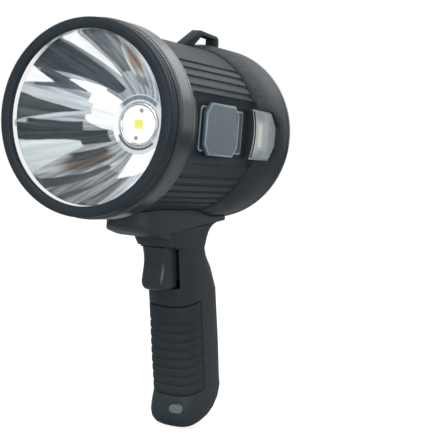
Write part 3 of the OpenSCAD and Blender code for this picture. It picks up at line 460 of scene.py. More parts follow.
@dataclass(frozen=True)
class Laminate(Finish):
    """Printed-circuit board with faint traces."""

    def build(self, tree: Tree) -> bpy.types.Material:
        """Traces as thin raised bands of the second colour."""
        sites = {"Vector": tree.place, "Scale": 220.0}
        cell = tree.node("ShaderNodeTexVoronoi", {"feature": "DISTANCE_TO_EDGE"}, sites)
        trace = cell.ramp(0.08, 0.03)
        return tree.dress(
            Base_Color=tree.blend(trace, self.colour, self.second),
            Roughness=tree.noise(400.0) * 0.2 + 0.35,
            Normal=tree.relief(trace, 0.00004),
        )


@dataclass(frozen=True)
class HeadAxis:
    """The head's axis: where the lip's plane is and how high the axis lies, in metres."""

    front: float
    height: float

    @classmethod
    def of_frame(cls) -> "HeadAxis":
        """Reads both from the front ring's box."""
        lo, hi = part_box("front_bezel")
        return cls(lo.y, (lo.z + hi.z) / 2)

    def at(self, x: float, s: float, z: float) -> Vector:
        """A place in the head, given in millimetres, as a point in metres."""
        return Vector((x * MM, self.front + s * MM, self.height + z * MM))

    def in_grip(self, x: float, t: float, w: float) -> Vector:
        """A place in the leaning frame of the grip: t runs from front to back and w up."""
        across, along = math.cos(LEAN), math.sin(LEAN)
        return self.at(x, t * across - w * along, t * along + w * across)

    def grip_back(self) -> Vector:
        """The direction from front to back in the leaning frame of the grip."""
        return self.in_grip(0, 1, 0) - self.in_grip(0, 0, 0)


class Form:
    """A mesh in the making."""

    def __init__(self, axis: HeadAxis) -> None:
        """Starts empty, beside the given axis."""
        self.axis = axis
        self.mesh = bmesh.new()

    def copy(self, *nodes: str) -> "Form":
        """Takes in copies of CAD nodes, merged and with their flat faces joined."""
        for name in nodes:
            self.mesh.from_mesh(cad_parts[name].data)
        bmesh.ops.remove_doubles(self.mesh, verts=self.mesh.verts[:], dist=CAD_WELD)
        bmesh.ops.dissolve_limit(self.mesh, angle_limit=JOINED, verts=self.mesh.verts[:], edges=self.mesh.edges[:])
        return self

    def outward(self) -> "Form":
        """Turns every face outwards."""
        bmesh.ops.recalc_face_normals(self.mesh, faces=self.mesh.faces[:])
        return self

    def turned(self, outline: Outline, steps: int = 160, closed: bool = True) -> "Form":
        """Turns an outline about the head's axis.

        Args:
            outline: Points as radius and distance behind the lip, in millimetres.
            steps: Sides of the round.
            closed: Whether the outline's last point joins its first.
        Returns:
            The form itself.
        """
        points = [self.mesh.verts.new(self.axis.at(0, s, r)) for r, s in outline]
        pairs = list(zip(points, points[1:] + points[:1]))
        lines = [self.mesh.edges.new(pair) for pair in (pairs if closed else pairs[:-1])]
        bmesh.ops.spin(
            self.mesh,
            geom=points + lines,
            cent=self.axis.at(0, 0, 0),
            axis=(0, 1, 0),
            angle=2 * math.pi,
            steps=steps,
            use_merge=True,
        )
        bmesh.ops.remove_doubles(self.mesh, verts=self.mesh.verts[:], dist=SEAM_WELD)
        return self

    def slab(self, outline: Outline, near: float, far: float) -> "Form":
        """Raises an outline out of the side.

        Args:
            outline: Points as distance behind the lip and height over the axis.
            near: Level of the slab's inner face, as x.
            far: Level of its outer face.
        Returns:
            The form itself.
        """
        return self.raised([self.axis.at(near, s, z) for s, z in outline], far - near)

    def raised(self, points: list[Vector], width: float) -> "Form":
        """Makes a face of the points and raises it sideways by a width in millimetres."""
        face = self.mesh.faces.new([self.mesh.verts.new(point) for point in points])
        grown = bmesh.ops.extrude_face_region(self.mesh, geom=[face])["geom"]
        moved = [v for v in grown if isinstance(v, bmesh.types.BMVert)]
        bmesh.ops.translate(self.mesh, vec=(width * MM, 0, 0), verts=moved)
        return self

    def sink(self, border: float, depth: float, painted: bool = False) -> "Form":
        """Lets the outermost flat of the side in, inside a border.

        Args:
            border: Width of the border in millimetres.
            depth: How far the flat goes in.
            painted: Whether the border takes the second finish.
        Returns:
            The form itself.
        """
        level = max(f.calc_center_median().x for f in self.mesh.faces)
        top = [f for f in self.mesh.faces if f.calc_center_median().x > level - 0.01 * MM]
        ring = bmesh.ops.inset_region(
            self.mesh, faces=top, thickness=border * MM, depth=-depth * MM, use_even_offset=True
        )
        for face in ring["faces"] if painted else ():
            face.material_index = 1
        return self

    def split(self, place: Vector, away: Vector, clear: bool) -> None:
        """Splits the form at a plane.

        Args:
            place: A point on the plane.
            away: The direction in which the plane looks.
            clear: Whether all that lies in that direction goes.
        """
        geom = self.mesh.verts[:] + self.mesh.edges[:] + self.mesh.faces[:]
        bmesh.ops.bisect_plane(self.mesh, geom=geom, dist=WELD, plane_co=place, plane_no=away, clear_outer=clear)

    def paint_ahead(self, reach: float) -> "Form":
        """Splits the form at a distance behind the lip and gives the second finish to all before it."""
        place = self.axis.at(0, reach, 0)
        self.split(place, Vector((0, 1, 0)), clear=False)
        for face in self.mesh.faces:
            if face.calc_center_median().y < place.y:
                face.material_index = 1
        return self

    def cut(self, place: Vector, away: Vector) -> "Form":
        """Takes away all that lies past a plane and closes the cut.

        Args:
            place: A point on the plane.
            away: The direction in which everything goes.
        Returns:
            The form itself.
        """
        self.split(place, away, clear=True)
        bmesh.ops.holes_fill(self.mesh, edges=[e for e in self.mesh.edges if e.is_boundary])
        return self

    def paint_front(self, reach: float) -> "Form":
        """Gives the second finish to the faces that look forward, up to a distance behind the lip."""
        end = self.axis.at(0, reach, 0).y
        for face in self.outward().mesh.faces:
            if face.normal.y < -0.5 and face.calc_center_median().y < end:
                face.material_index = 1
        return self

    def soften(self, width: float, segments: int = 3, seam: bool = False) -> "Form":
        """Rounds the sharp edges.

        Args:
            width: Width of the rounding in millimetres.
            segments: Its steps.
            seam: Whether edges in the middle plane, where two halves meet, stay as they are.
        Returns:
            The form itself.
        """
        edges = [e for e in self.outward().mesh.edges if len(e.link_faces) == 2]
        sharp = [e for e in edges if e.calc_face_angle(0.0) > SHARP]
        if seam:
            sharp = [e for e in sharp if max(abs(v.co.x) for v in e.verts) > 0.3 * MM]
        return self.bevel(sharp, width, segments)

    def bevel(self, edges: list[bmesh.types.BMEdge], width: float, segments: int) -> "Form":
        """Rounds the given edges.

        Args:
            edges: The edges.
            width: Width of the rounding in millimetres.
            segments: Its steps.
        Returns:
            The form itself.
        """
        bmesh.ops.bevel(
            self.mesh,
            geom=edges,
            offset=width * MM,
            offset_type="OFFSET",
            segments=segments,
            profile=0.5,
            affect="EDGES",
            material=-1,
            clamp_overlap=False,
        )
        return self

    def rimmed(self, look: Vector, width: float) -> "Form":
        """Puts a narrow rim of faces round the flats that look one way, so that they stay flat."""
        facing = [f for f in self.outward().mesh.faces if f.normal.dot(look) > 0.99999]
        flats = [f for f in facing if f.calc_area() > FLAT_AREA]
        bmesh.ops.inset_region(self.mesh, faces=flats, thickness=width * MM, use_even_offset=True)
        return self

    def is_flat(self, face: bmesh.types.BMFace) -> bool:
        """Whether a face is a large flat of its own, not one facet of a round."""
        turns = [edge.calc_face_angle(math.pi) for edge in face.edges]
        return face.calc_area() > FLAT_AREA and all(turn < COPLANAR or turn > FACET for turn in turns)

    def piece(
        self, name: str, finish: Finish, *nodes: str, body: Body = Body.LIGHT, second: Finish | None = None
    ) -> bpy.types.Object:
        """Makes the object.

        Args:
            name: Its name.
            finish: Its finish.
            nodes: The CAD nodes it stands for.
            body: The body it moves with.
            second: Finish of the faces that were painted.
        Returns:
            The object.
        """
        bmesh.ops.remove_doubles(self.mesh, verts=self.mesh.verts[:], dist=WELD)
        for face in self.outward().mesh.faces:
            face.smooth = not self.is_flat(face)
        data = bpy.data.meshes.new(name)
        self.mesh.to_mesh(data)
        self.mesh.free()
        if "custom_normal" in data.attributes:
            data.attributes.remove(data.attributes["custom_normal"])
        data.set_sharp_from_angle(angle=CREASE)
        for use in (finish, second):
            if use:
                data.materials.append(use.make())
        made = bpy.data.objects.new(name, data)
        bpy.context.scene.collection.objects.link(made)
        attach(made, body.value)
        if nodes:
            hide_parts(*nodes)
        log.info("%s: %d faces", name, len(data.polygons))
        return made


@dataclass(frozen=True)
class Finishes:
    """Every finish the light uses."""

    axis: HeadAxis

    shell: Finish = Moulded(
        "shell_plastic", "black_plastic", (0.019, 0.0245, 0.029), (0.022, 0.028, 0.033),
        roughness=0.45, spread=0.03, depth=0.00003, shine=0.09,
    )
    ring: Finish = Moulded(
        "ring_plastic", "black_plastic", (0.018, 0.023, 0.0275), (0.021, 0.0265, 0.031),
        roughness=0.26, spread=0.02, depth=0.00001, shine=0.5,
    )
    lip: Finish = Moulded(
        "lip_plastic", "black_plastic", (0.018, 0.023, 0.0275), (0.021, 0.0265, 0.031),
        roughness=0.36, shine=0.08,
    )
    saddle: Finish = Moulded(
        "saddle_plastic", "black_plastic", (0.025, 0.031, 0.036), (0.029, 0.0355, 0.0405),
        roughness=0.45, shine=0.1,
    )
    grip: Finish = Moulded(
        "grip_plastic", "black_plastic", (0.021, 0.0265, 0.0305), (0.025, 0.031, 0.035),
        roughness=0.5, depth=0.00009, shine=0.12,
    )
    lever: Finish = Moulded(
        "lever_plastic", "black_plastic", (0.018, 0.023, 0.0265), (0.022, 0.027, 0.031),
        roughness=0.28, shine=0.25,
    )
    rubber: Finish = Moulded(
        "soft_rubber", "black_rubber", (0.02, 0.025, 0.0285), (0.024, 0.0295, 0.033),
        roughness=0.62, grain=2200.0, depth=0.0001, shine=0.1,
    )
    button: Finish = Moulded(
        "button_plastic", "button_grey", (0.072, 0.1, 0.117), (0.08, 0.11, 0.127),
        roughness=0.3, shine=0.45,
    )
    seat: Finish = Moulded(
        "seat_plastic", "button_grey", (0.05, 0.06, 0.068), (0.06, 0.07, 0.078), roughness=0.36
    )
    # A light grey put on the borders of the button and its seat as a painted edge highlight.
    edge_highlight: Finish = Moulded(
        "edge_highlight_plastic", "button_grey", (0.22, 0.26, 0.28), (0.26, 0.3, 0.32), roughness=0.3
    )
    # The charge indicator's light grey window sits where the toe shows a glint, so its tone is partly a painted
    # highlight.
    window: Finish = Moulded(
        "indicator_window_and_glint", "indicator_grey", (0.085, 0.096, 0.104), (0.12, 0.132, 0.14), roughness=0.35
    )
    tray: Finish = Moulded(
        "tray_plastic", "white_parts", (0.34, 0.36, 0.35), (0.4, 0.42, 0.4), roughness=0.45
    )
    dark: Finish = Moulded(
        "dark_moulding", "dark_parts", (0.012, 0.012, 0.013), (0.02, 0.02, 0.022), roughness=0.5
    )
    chrome: Finish = Plated(
        "bright_plating", "mirror_coat", (0.86, 0.87, 0.88), (0.78, 0.79, 0.8), roughness=0.12
    )
    steel: Finish = Plated("plated_steel", "steel", (0.52, 0.53, 0.54), (0.42, 0.43, 0.45))
    sink: Finish = Plated("cast_metal", "sink_metal", (0.6, 0.61, 0.62), (0.5, 0.51, 0.52), roughness=0.42)
    glass: Finish = Clear("clear_glass", "front_glass", (0.9, 0.95, 0.98), (0.86, 0.92, 0.96))
    frosted: Finish = Clear(
        "frosted_plastic", "lamp_plastic", (0.62, 0.66, 0.66), (0.7, 0.74, 0.73),
        roughness=0.2, cover=0.35, mottle=0.06, depth=0.00004,
    )
    # The side lamp's strip, the emitter's phosphor and the board round it glow as painted light.
    strip: Finish = PaintedGlow("strip_layer", "phosphor", (0.66, 0.65, 0.26), (0.72, 0.7, 0.32), glow=0.35)
    phosphor: Finish = PaintedGlow("phosphor_layer", "phosphor", (0.62, 0.66, 0.05), (0.72, 0.74, 0.12))
    lit: Finish = PaintedGlow("lit_board", "white_parts", (0.86, 0.86, 0.84), (0.92, 0.92, 0.9), glow=0.55)
    board: Finish = Laminate("board_laminate", "board_green", (0.012, 0.09, 0.04), (0.03, 0.16, 0.08))
    can: Finish = Moulded(
        "capacitor_sleeve", "capacitor_blue", (0.02, 0.05, 0.16), (0.03, 0.07, 0.2), roughness=0.3
    )
    # The cells and their sleeve are near black as painted shade, so that the slot behind the lever reads dark.
    cell: Finish = Moulded(
        "cell_wrapper_painted_shade", "cell_wrap", (0.004, 0.009, 0.016), (0.006, 0.012, 0.02),
        roughness=0.4, shine=0.15,
    )
    film: Finish = Moulded(
        "sleeve_foil_painted_shade", "sleeve_film", (0.004, 0.012, 0.018), (0.006, 0.018, 0.026),
        roughness=0.4, shine=0.2,
    )

    def mirror(self) -> Finish:
        """The dish's plating, with the reflections that it shows painted on as patches."""
        # Tones of the painted reflections; the brown one is a reflected warm streak, not a metal.
        white, dark, teal = (0.98, 0.99, 0.99), (0.014, 0.021, 0.025), (0.022, 0.034, 0.034)
        pale, ring, brown_reflection = (0.64, 0.71, 0.72), (0.56, 0.62, 0.64), (0.2, 0.14, 0.1)
        rim, all_round = 50.6, 181
        return Mirror(
            "dish_plating_painted_reflections", "mirror_coat", (0.46, 0.5, 0.52), (0.2, 0.225, 0.245),
            height=self.axis.height,
            patches=(
                ReflectionPatch((0.3, 0.32, 0.33), 30, rim, 262, 262, 22, 22, streak=0.3),
                ReflectionPatch((0.12, 0.15, 0.165), 31, rim, 94, 86, 7, 15, streak=0.3),
                ReflectionPatch(brown_reflection, 31, 48, 76, 66, 9, 10, 6.0, 4.0, 0.4),
                ReflectionPatch(dark, 22, rim, 119, 132, 9, 15, streak=2.6),
                ReflectionPatch(dark, 32, 47, 146, 150, 3, 9, streak=3.0),
                ReflectionPatch(white, 29, rim, 105, 110, 1.5, 7, streak=0.95),
                ReflectionPatch(white, 42, rim, 151, 151, 0.5, 9, streak=0.95),
                ReflectionPatch(white, 14, 30, 168, 158, 36, 22, streak=0.95),
                ReflectionPatch(white, 27, 39, 140, 144, 9, 1, streak=0.95),
                ReflectionPatch(ring, 28, rim, 166, 173, 8, 13, streak=0.9),
                ReflectionPatch(teal, 30, rim, 170, 176, 0.5, 10, streak=2.2),
                ReflectionPatch(dark, 21, rim, 205, 192, 12, 7.5, streak=2.2),
                ReflectionPatch(dark, 30, 47, 187, 184.5, 6, 2.5, streak=2.2),
                ReflectionPatch(brown_reflection, 24, 41, 234, 226, 11, 9, 5.0, 3.0, 0.3),
                ReflectionPatch((0.022, 0.026, 0.03), 24, 38, 225, 221, 6, 6, 3.0, 2.0, streak=2.0),
                ReflectionPatch(pale, 32, rim, 208, 211, 5, 14, streak=0.85),
                ReflectionPatch((0.05, 0.06, 0.07), 29, rim, 250, 233, 4, 6),
                ReflectionPatch((0.06, 0.065, 0.07), 31, rim, 264, 252, 2, 4),
                ReflectionPatch((0.08, 0.075, 0.07), 33, rim, 276, 270, 2, 4),
                ReflectionPatch(white, 16, 33, 290, 292, 30, 24, 4.0, streak=0.95),
                ReflectionPatch((0.12, 0.14, 0.16), 24, 29, 78, 78, 12, 12, 5.0, 1.5),
                ReflectionPatch(dark, 26, rim, 28, 22, 3, 11, streak=3.0),
                ReflectionPatch(white, 20, rim, 4, 0, 4, 9, streak=0.95),
                ReflectionPatch(dark, 29, rim, -26, -23, 2, 9, streak=3.0),
                ReflectionPatch(pale, 34, rim, -50, -46, 5, 9, streak=0.85),
                ReflectionPatch(white, 32, rim, 50, 47, 2, 6, streak=0.95),
                # Painted reflections of the plated ring round the emitter, which do not wander.
                ReflectionPatch((0.6, 0.64, 0.66), 13.0, 18.5, 0, 0, all_round, all_round, fade=0.2, streak=0.9, still=True),
                ReflectionPatch(white, 14.6, 18.5, 182, 182, 42, 42, 9.0, 0.2, 0.97, still=True),
                ReflectionPatch((0.15, 0.19, 0.24), 15.2, 17.8, 92, 92, 52, 52, 12.0, still=True),
                ReflectionPatch((0.07, 0.085, 0.1), 14.4, 16.0, 262, 262, 58, 58, 9.0, 0.3, still=True),
                ReflectionPatch((0.3, 0.29, 0.28), 13.4, 14.0, 0, 0, all_round, all_round, fade=0.15, still=True),
                # Painted highlight along the left and lower inner edge of the rim.
                ReflectionPatch(white, 50.0, 53.5, 205, 205, 80, 80, 20.0, 0.1, 1.0, still=True),
            ),
        )


@dataclass
class Assembly:
    """What the sub-assemblies share: the head's axis and the finishes."""

    axis: HeadAxis
    finishes: Finishes

    def form(self, *nodes: str) -> Form:
        """A new form, empty or with copies of CAD nodes."""
        return Form(self.axis).copy(*nodes) if nodes else Form(self.axis)


@dataclass
class LampFront(Assembly):
    """Lip ring, collar, lens, mirror dish and emitter."""

    open_r: float = 50.5
    lip_r: float = 57.0
    collar_r: float = 58.0
    seat_r: float = 53.0
    skirt_r: float = 55.4
    nose: float = 8.8
    collar_start: float = 9.6
    collar_end: float = 27.6
    rim: float = 7.0
    emitter_plane: float = 64.0
    focus: float = 9.18
    hole_r: float = 13.7
    board_face: float = 64.2
    skirt_end: float = 25.0
    bore_r: float = 53.9
    throat_r: float = 53.2
    ledge: float = 8.6
    lens_front: float = 4.0
    lens_edge: float = 0.5
    wall: float = 1.6
    dish_back: float = 65.8
    rim_back: float = 8.8

    def dish(self, s: float) -> float:
        """Radius of the mirror dish at a distance behind the lip."""
        return math.sqrt(4 * self.focus * (self.emitter_plane + self.focus - s))

    def lip(self) -> None:
        """The lip ring: a flat face, a rounded outer edge and a stepped inner edge."""
        r, o = self.lip_r, self.open_r
        outline = [(o, 2.9), (o, 1.0), (o + 0.35, 0.35), (o + 1.0, 0.0), (r - 2.4, 0.0)]
        outline += [(r - 2.0 * (1 - math.sin(a)), 2.0 * (1 - math.cos(a))) for a in (0.3, 0.6, 0.9, 1.2, 1.5)]
        outline += [(r, 4.6), (r - 0.35, 4.9), (r - 0.35, 5.4), (r, 5.7)]
        outline += [(r, self.nose - 0.5), (r - 0.5, self.nose), (self.skirt_r, self.nose)]
        outline += [(self.skirt_r, self.skirt_end), (self.bore_r, self.skirt_end), (self.bore_r, self.ledge)]
        outline += [(self.throat_r, self.ledge), (self.throat_r, 3.0)]
        self.form().turned(outline).piece("lip_ring", self.finishes.lip, "front_bezel")

    def collar(self) -> None:
        """The collar: two shallow grooves near its ends and rounded edges."""
        r, a, b = self.collar_r, self.collar_start, self.collar_end
        inner = self.skirt_r + 0.2
        outline = [(inner, a), (r - 1.2, a), (r - 0.4, a + 0.3), (r, a + 1.0)]
        for groove in (a + 2.6, b - 3.2):
            outline += [(r, groove), (r - 0.45, groove + 0.2), (r - 0.45, groove + 0.5), (r, groove + 0.7)]
        outline += [(r, b - 1.0), (r - 0.4, b - 0.3), (r - 1.2, b), (inner, b)]
        self.form().turned(outline).piece("collar_ring", self.finishes.ring, "head_collar")

    def lens(self) -> None:
        """The clear disc behind the lip."""
        r, flat, a, b = self.seat_r, self.seat_r - self.lens_edge, self.lens_front, self.rim
        outline = [(0.0, a), (flat, a), (r, a + 0.4), (r, b - 0.4), (flat, b), (0.0, b)]
        form = self.form().turned(outline, closed=False)
        form.piece("lens_disc", self.finishes.glass, "front_lens")

    def mirror(self) -> None:
        """The dish: a bright rim, the curve to the emitter and its wall behind."""
        depth = self.emitter_plane - self.rim
        steps = [self.rim + depth * k / 40 for k in range(41)]
        outline = [(self.seat_r - 0.3, self.rim), (self.dish(self.rim) + 0.3, self.rim)]
        outline += [(self.dish(s), s) for s in steps[1:]]
        outline += [(self.hole_r, self.emitter_plane), (self.hole_r, self.dish_back)]
        outline += [(self.dish(self.emitter_plane) + self.wall, self.dish_back)]
        outline += [(self.dish(s) + self.wall, s) for s in reversed(steps[2:])]
        outline += [(self.seat_r - 0.3, self.rim_back)]
        self.form().turned(outline).piece("mirror_dish", self.finishes.mirror(), "reflector")

    def emitter(self) -> None:
        """The plated ring that holds the emitter's board."""
        crown = [(11.3, 0.0), (11.5, 0.7), (11.9, 1.2), (12.6, 1.4), (13.2, 1.2), (13.5, 0.7)]
        ring = [(r, self.board_face - rise) for r, rise in crown]
        ring += [(13.5, self.dish_back), (12.6, self.dish_back), (12.6, self.board_face)]
        self.form().turned(ring, 96).piece("emitter_ring", self.finishes.chrome, "led_retainer")

    def build(self) -> None:
        """Builds the front in order."""
        self.lip()
        self.collar()
        self.lens()
        self.mirror()
        self.emitter()


@dataclass
class SidePanel(Assembly):
    """Button, its seat and the side lamp on the flat of the barrel."""

    mid: float = 0.2
    button: float = 73.4
    cap_len: float = 44.4
    cap_h: float = 31.4
    corner: float = 6.0
    cap_x: float = 50.6
    cap_t: float = 2.0
    # line and seat_line are the widths of the painted highlight round the cap's and the seat's borders.
    line: float = 0.7
    margin: float = 0.8
    slope: float = 0.35
    sunk: float = 0.3
    seat_line: float = 1.1
    lamp_front: float = 119.2
    tray_lip: float = 116.7
    strip_s: tuple[float, float] = (129.6, 133.6)
    strip_z: tuple[float, float] = (-7.3, 7.7)
    strip_x: tuple[float, float] = (50.2, 51.3)
    post_x: float = 43.1

    def cut(self, length: float, height: float, corner: float) -> Outline:
        """A rectangle with cut corners about the button's middle."""
        s, z, c = length / 2, height / 2, corner
        low = [(-s + c, -z), (s - c, -z), (s, -z + c)]
        high = [(s, z - c), (s - c, z), (-s + c, z), (-s, z - c), (-s, -z + c)]
        return [(self.button + a, self.mid + b) for a, b in low + high]

    def cap(self) -> None:
        """The button: a bevelled cap with a border line, a painted highlight, round a slightly sunk face."""
        outline = self.cut(self.cap_len, self.cap_h, self.corner)
        form = self.form().slab(outline, self.cap_x, self.cap_x + self.cap_t).soften(0.5, 3)
        form.sink(self.line, 0.0, painted=True).sink(self.margin, 0.0).sink(self.slope, self.sunk)
        form.piece("button_cap", self.finishes.button, body=Body.BUTTON, second=self.finishes.edge_highlight)

    def seat(self) -> None:
        """The frame under the button, with a painted highlight round the border of its top."""
        form = self.form("button_frame").sink(self.seat_line, 0.0, painted=True).soften(0.2, 2)
        form.piece("button_seat", self.finishes.seat, "button_frame", second=self.finishes.edge_highlight)

    def stem(self) -> None:
        """The stem under the cap, which carries the cap in the panel."""
        top = self.axis.at(self.cap_x + 0.05, 0, 0)
        form = self.form("side_button").cut(top, Vector((1, 0, 0)))
        form.piece("button_stem", self.finishes.button, "side_button", body=Body.BUTTON)

    def lamp(self) -> None:
        """The lamp's lens: bowed at the front and with cut corners at the rear."""
        form = self.form("side_lamp_lens").soften(0.35, 2).paint_front(self.lamp_front)
        form.piece("lamp_window", self.finishes.frosted, "side_lamp_lens", second=self.finishes.shell)

    def tray(self) -> None:
        """The tray under the lens, dark at its front lip, and the strip on its post."""
        form = self.form("side_lamp_tray").paint_ahead(self.tray_lip)
        form.piece("lamp_tray", self.finishes.tray, "side_lamp_tray", second=self.finishes.shell)
        (a, b), (low, high), (c, d) = self.strip_s, self.strip_z, self.strip_x
        outline = [(a, low), (b, low), (b, high), (a, high)]
        post = self.form().slab(outline, self.post_x, c)
        post.piece("lamp_post", self.finishes.tray)
        bar = self.form().slab(outline, c, d).soften(0.2, 2)
        bar.piece("lamp_strip", self.finishes.strip, "side_lamp_led")

    def build(self) -> None:
        """Builds the panel's pieces in order."""
        self.seat()
        self.stem()
        self.cap()
        self.lamp()
        self.tray()


@dataclass
class Softened(Assembly):
    """Pieces whose shape comes from the CAD, with rounded edges."""

    rim: float = 0.4
    bodies: dict[str, Body] = field(default_factory=lambda: {"charge_cap": Body.FLAP})
    widths: dict[str, tuple[float, str]] = field(
        default_factory=lambda: {
            "barrel": (0.3, "shell"),
            "rear_cap": (0.4, "ring"),
            "strap_loop": (0.7, "shell"),
            "saddle": (1.0, "saddle"),
            "grip_left": (0.35, "grip"),
            "grip_right": (0.35, "grip"),
            "grip_pad": (0.45, "rubber"),
            "back_strap": (0.25, "rubber"),
            "charge_cap": (0.35, "rubber"),
            # The indicator window's tone is partly a painted highlight.
            "charge_indicator": (0.3, "window"),
        }
    )

    def build(self) -> None:
        """Copies, rounds and dresses each piece."""
        for node, (width, finish) in self.widths.items():
            form = self.form(node).soften(width, 2, seam=node.startswith("grip_"))
            if node == "rear_cap":
                form.rimmed(Vector((0, 1, 0)), self.rim)
            body = self.bodies.get(node, Body.LIGHT)
            form.piece(f"{node}_skin", getattr(self.finishes, finish), node, body=body)


@dataclass
class TriggerUnit(Assembly):
    """The finger lever: a hollowed front with a lip at its lower end, on the CAD lever's root."""

    front: float = 67.1
    top: float = -97.5
    end: float = -127.3
    back: float = 86.6
    half: float = 8.7
    corner: float = 4.2
    corner_steps: int = 6
    cheek: float = 1.5
    pocket: float = 7.5
    rear_flat: float = 2.5

    def lever(self) -> None:
        """The visible lever: well rounded front edges and a hollow back between two cheeks."""
        f, a, b = self.front, self.top, self.end
        hollow = [(3.4, 0), (3.6, 2), (4.2, 5), (4.5, 8), (4.3, 11), (3.5, 14), (2.3, 17), (1.1, 20), (0.2, 23)]
        lip = [(0, 5.2), (0.5, 3.2), (1.8, 1.3), (4.0, 0.2), (6.5, 0)]
        face = [(f + t, a - w) for t, w in hollow] + [(f + t, b + w) for t, w in lip]
        rear = [(self.back - 2.0, b), (self.back - 0.4, a - 12), (self.back, a)]
        points = [self.axis.in_grip(-self.half, t, w) for t, w in face + rear]
        form = self.form().raised(points, 2 * self.half).outward()
        back = self.axis.grip_back().normalized()
        opened = [face for face in form.mesh.faces if face.normal.dot(back) > 0.9]
        bmesh.ops.inset_region(
            form.mesh, faces=opened, thickness=self.cheek * MM, depth=-self.pocket * MM, use_even_offset=True
        )
        level = self.axis.in_grip(0, self.back - self.rear_flat, 0)
        rim = [
            e
            for e in form.mesh.edges
            if min(abs(v.co.x) for v in e.verts) > self.half * MM - WELD
            and abs(e.verts[0].co.x - e.verts[1].co.x) < WELD
            and max((v.co - level).dot(back) for v in e.verts) < 0
        ]
        form.bevel(rim, self.corner, self.corner_steps)
        form.piece("trigger_lever", self.finishes.lever, "trigger", body=Body.TRIGGER)

    def root(self) -> None:
        """The hub of the lever, inside the brow of the grip."""
        down = self.axis.in_grip(0, 0, -1) - self.axis.in_grip(0, 0, 0)
        form = self.form("trigger").cut(self.axis.in_grip(0, 0, self.top), down.normalized())
        form.piece("trigger_root", self.finishes.lever, body=Body.TRIGGER)

    def build(self) -> None:
        """Builds both parts of the lever."""
        self.lever()
        self.root()


@dataclass
class Springs(Assembly):
    """The two coil springs."""

    button_foot: float = 36.3
    button_keep: float = 0.65
    trigger_foot: tuple[float, float] = (91.55, -118.6)
    trigger_keep: float = 0.7

    def coil(self, node: str, joint: str, along: Vector, foot: Vector, keep: float) -> None:
        """One spring.

        Args:
            node: The CAD node it stands for.
            joint: The joint that presses it; not used.
            along: Its axis; not used.
            foot: The end that stays where it is; not used.
            keep: The share of its length left when pressed; not used.
        """
        made = self.form(node).piece(f"{node}_coil", self.finishes.steel, node)
        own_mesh(made)

    def build(self) -> None:
        """Builds both springs."""
        sideways, foot = Vector((1, 0, 0)), self.axis.at(self.button_foot, 0, 0)
        self.coil("button_spring", "button_push", sideways, foot, self.button_keep)
        foot = self.axis.in_grip(0, *self.trigger_foot)
        self.coil("trigger_spring", "trigger_pull", self.axis.grip_back(), foot, self.trigger_keep)


@dataclass
class Inside:
    """Nodes that keep their CAD shape and take a finish."""

    finishes: Finishes
    dress: dict[str, tuple[str, ...]] = field(
        default_factory=lambda: {
            "rubber": ("lens_gasket", "rear_gasket"),
            "tray": ("side_lamp_board",),
            "lit": ("led_board",),
            "phosphor": ("led_emitter",),
            "steel": (
                "led_screws", "heat_sink_screws", "driver_board_screws", "rear_cap_screws", "strap_loop_screws",
                "saddle_screws", "grip_screws", "button_board_screws", "trigger_pin", "battery_tabs",
            ),
            "sink": ("heat_sink",),
            "board": ("driver_board", "button_board", "charge_board"),
            "dark": ("driver_inductor", "button_switch", "trigger_switch", "charge_socket"),
            "can": ("driver_capacitors",),
            # cell and film are near black: painted shade for the slot behind the lever.
            "cell": ("battery_cells",),
            "film": ("battery_sleeve",),
        }
    )

    def build(self) -> None:
        """Puts the finish on every slot of each node."""
        for key, nodes in self.dress.items():
            finish = getattr(self.finishes, key)
            for name in nodes:
                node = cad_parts[name]
                for place in node.material_slots:
                    place.material = finish.make()
                log.info("%s dressed as %s", name, finish.name)


@dataclass(frozen=True)
class SoftLamp:
    """A square soft light: its place and side in metres and its power in watts."""

    name: str
    place: Colour
    size: float
    power: float
    tint: Colour = (0.88, 0.95, 1.0)

    def build(self, aim: Vector) -> None:
        """Hangs the lamp so that it looks at the given point."""
        data = bpy.data.lights.new(self.name, "AREA")
        data.size = self.size
        data.energy = self.power
        data.color = self.tint
        made = bpy.data.objects.new(self.name, data)
        made.visible_camera = False
        look = aim - Vector(self.place)
        made.matrix_world = Matrix.Translation(self.place) @ look.to_track_quat("-Z", "Y").to_matrix().to_4x4()
        bpy.context.scene.collection.objects.link(made)


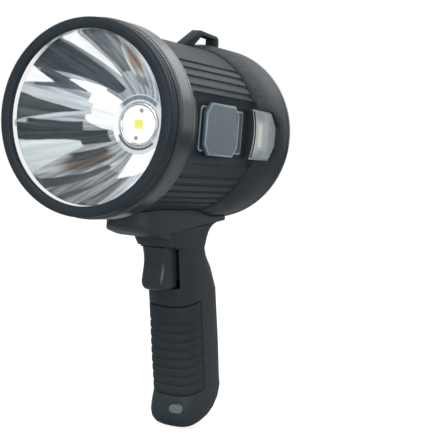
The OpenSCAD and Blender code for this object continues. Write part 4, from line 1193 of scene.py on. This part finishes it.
@dataclass
class Studio:
    """Floor, soft lights, white surroundings and the camera.

    The camera's turn, drop and roll are in degrees, and its eye is a place in the head's frame in millimetres.
    """

    axis: HeadAxis
    fill: float = 0.55
    aim: Colour = (0.0, 0.0, 0.13)
    lamps: tuple[SoftLamp, ...] = (
        SoftLamp("key", (-0.15, -1.3, 1.0), 0.8, 15.0),
        SoftLamp("side", (1.0, -1.0, 0.2), 0.7, 14.0),
        SoftLamp("back", (0.25, 0.95, 0.9), 0.8, 3.4),
    )
    floor_half: float = 6.0
    floor_drop: float = 0.0005
    floor_glow: float = 0.84
    sensor: float = 36.0
    lens: float = 99.143
    turn: float = 26.08
    drop: float = 2.93
    roll: float = 5.0
    eye: Colour = (375.77, -579.75, -16.05)

    def world(self) -> None:
        """White for what is seen, mirrored or looked through, and a plain level for the rest."""
        world = bpy.data.worlds.new("studio")
        bpy.context.scene.world = world
        tree = Tree(world)
        rays = ("Is Camera Ray", "Is Glossy Ray", "Is Transmission Ray")
        seen, mirrored, through = (tree.node("ShaderNodeLightPath", {}, {}, ray) for ray in rays)
        bare = seen.most(mirrored).most(through)
        tree.dress(Color=(1.0, 1.0, 1.0), Strength=bare * (1.0 - self.fill) + self.fill)

    def floor(self) -> None:
        """A pale floor under the light that keeps its shadow."""
        shape = bmesh.new()
        bmesh.ops.create_grid(shape, x_segments=1, y_segments=1, size=self.floor_half)
        bmesh.ops.translate(shape, vec=(0, 0, -self.floor_drop), verts=shape.verts[:])
        data = bpy.data.meshes.new("floor")
        shape.to_mesh(data)
        shape.free()
        tree = Tree(bpy.data.materials.new("floor_paper"))
        grain = tree.noise(300.0)
        tree.dress(
            Base_Color=tree.blend(grain, (0.3, 0.3, 0.3), (0.34, 0.34, 0.34)),
            Roughness=grain * 0.1 + 0.85,
            Specular_IOR_Level=0.1,
            Emission_Color=(1.0, 1.0, 1.0),
            Emission_Strength=self.floor_glow,
        )
        far = tree.length(tree.place).ramp(0.5, 1.2)
        pale = tree.blend(far, (0.62, 0.62, 0.62), (0.12, 0.12, 0.12))
        dim = tree.node("ShaderNodeBsdfDiffuse", {}, {"Color": pale})
        seen = tree.node("ShaderNodeLightPath", {}, {}, "Is Camera Ray")
        both = tree.node("ShaderNodeMixShader", {}, {0: seen, 1: dim, 2: tree.shader.outputs[0]})
        tree.join(tree.body.nodes["Material Output"].inputs["Surface"], both)
        data.materials.append(tree.owner)
        made = bpy.data.objects.new("floor", data)
        bpy.context.scene.collection.objects.link(made)

    def camera(self) -> None:
        """A long lens to the right of the front, a little rolled."""
        data = bpy.data.cameras.new("camera")
        data.sensor_width = self.sensor
        data.lens = self.lens
        made = bpy.data.objects.new("camera", data)
        turn, drop, roll = (math.radians(angle) for angle in (self.turn, self.drop, self.roll))
        forward = Vector((-math.sin(turn) * math.cos(drop), math.cos(turn) * math.cos(drop), -math.sin(drop)))
        flat = Vector((math.cos(turn), math.sin(turn), 0))
        rise = flat.cross(forward)
        right = flat * math.cos(roll) + rise * math.sin(roll)
        up = rise * math.cos(roll) - flat * math.sin(roll)
        pose = Matrix((right, up, -forward)).transposed().to_4x4()
        pose.translation = self.axis.at(*self.eye)
        made.matrix_world = pose
        bpy.context.scene.collection.objects.link(made)
        bpy.context.scene.camera = made

    def build(self) -> None:
        """Sets up the whole studio."""
        bpy.context.scene.view_settings.view_transform = "Standard"
        self.world()
        self.floor()
        for lamp in self.lamps:
            lamp.build(Vector(self.aim))
        self.camera()


def main() -> None:
    """Builds every part of the light, then the studio."""
    logging.basicConfig(level=logging.INFO, format="%(message)s")
    axis = HeadAxis.of_frame()
    finishes = Finishes(axis)
    shaped = [kind(axis, finishes) for kind in (LampFront, SidePanel, Softened, TriggerUnit, Springs)]
    for part in (*shaped, Inside(finishes), Studio(axis)):
        log.info("building %s", type(part).__name__)
        part.build()


if __name__ == "__main__":
    main()
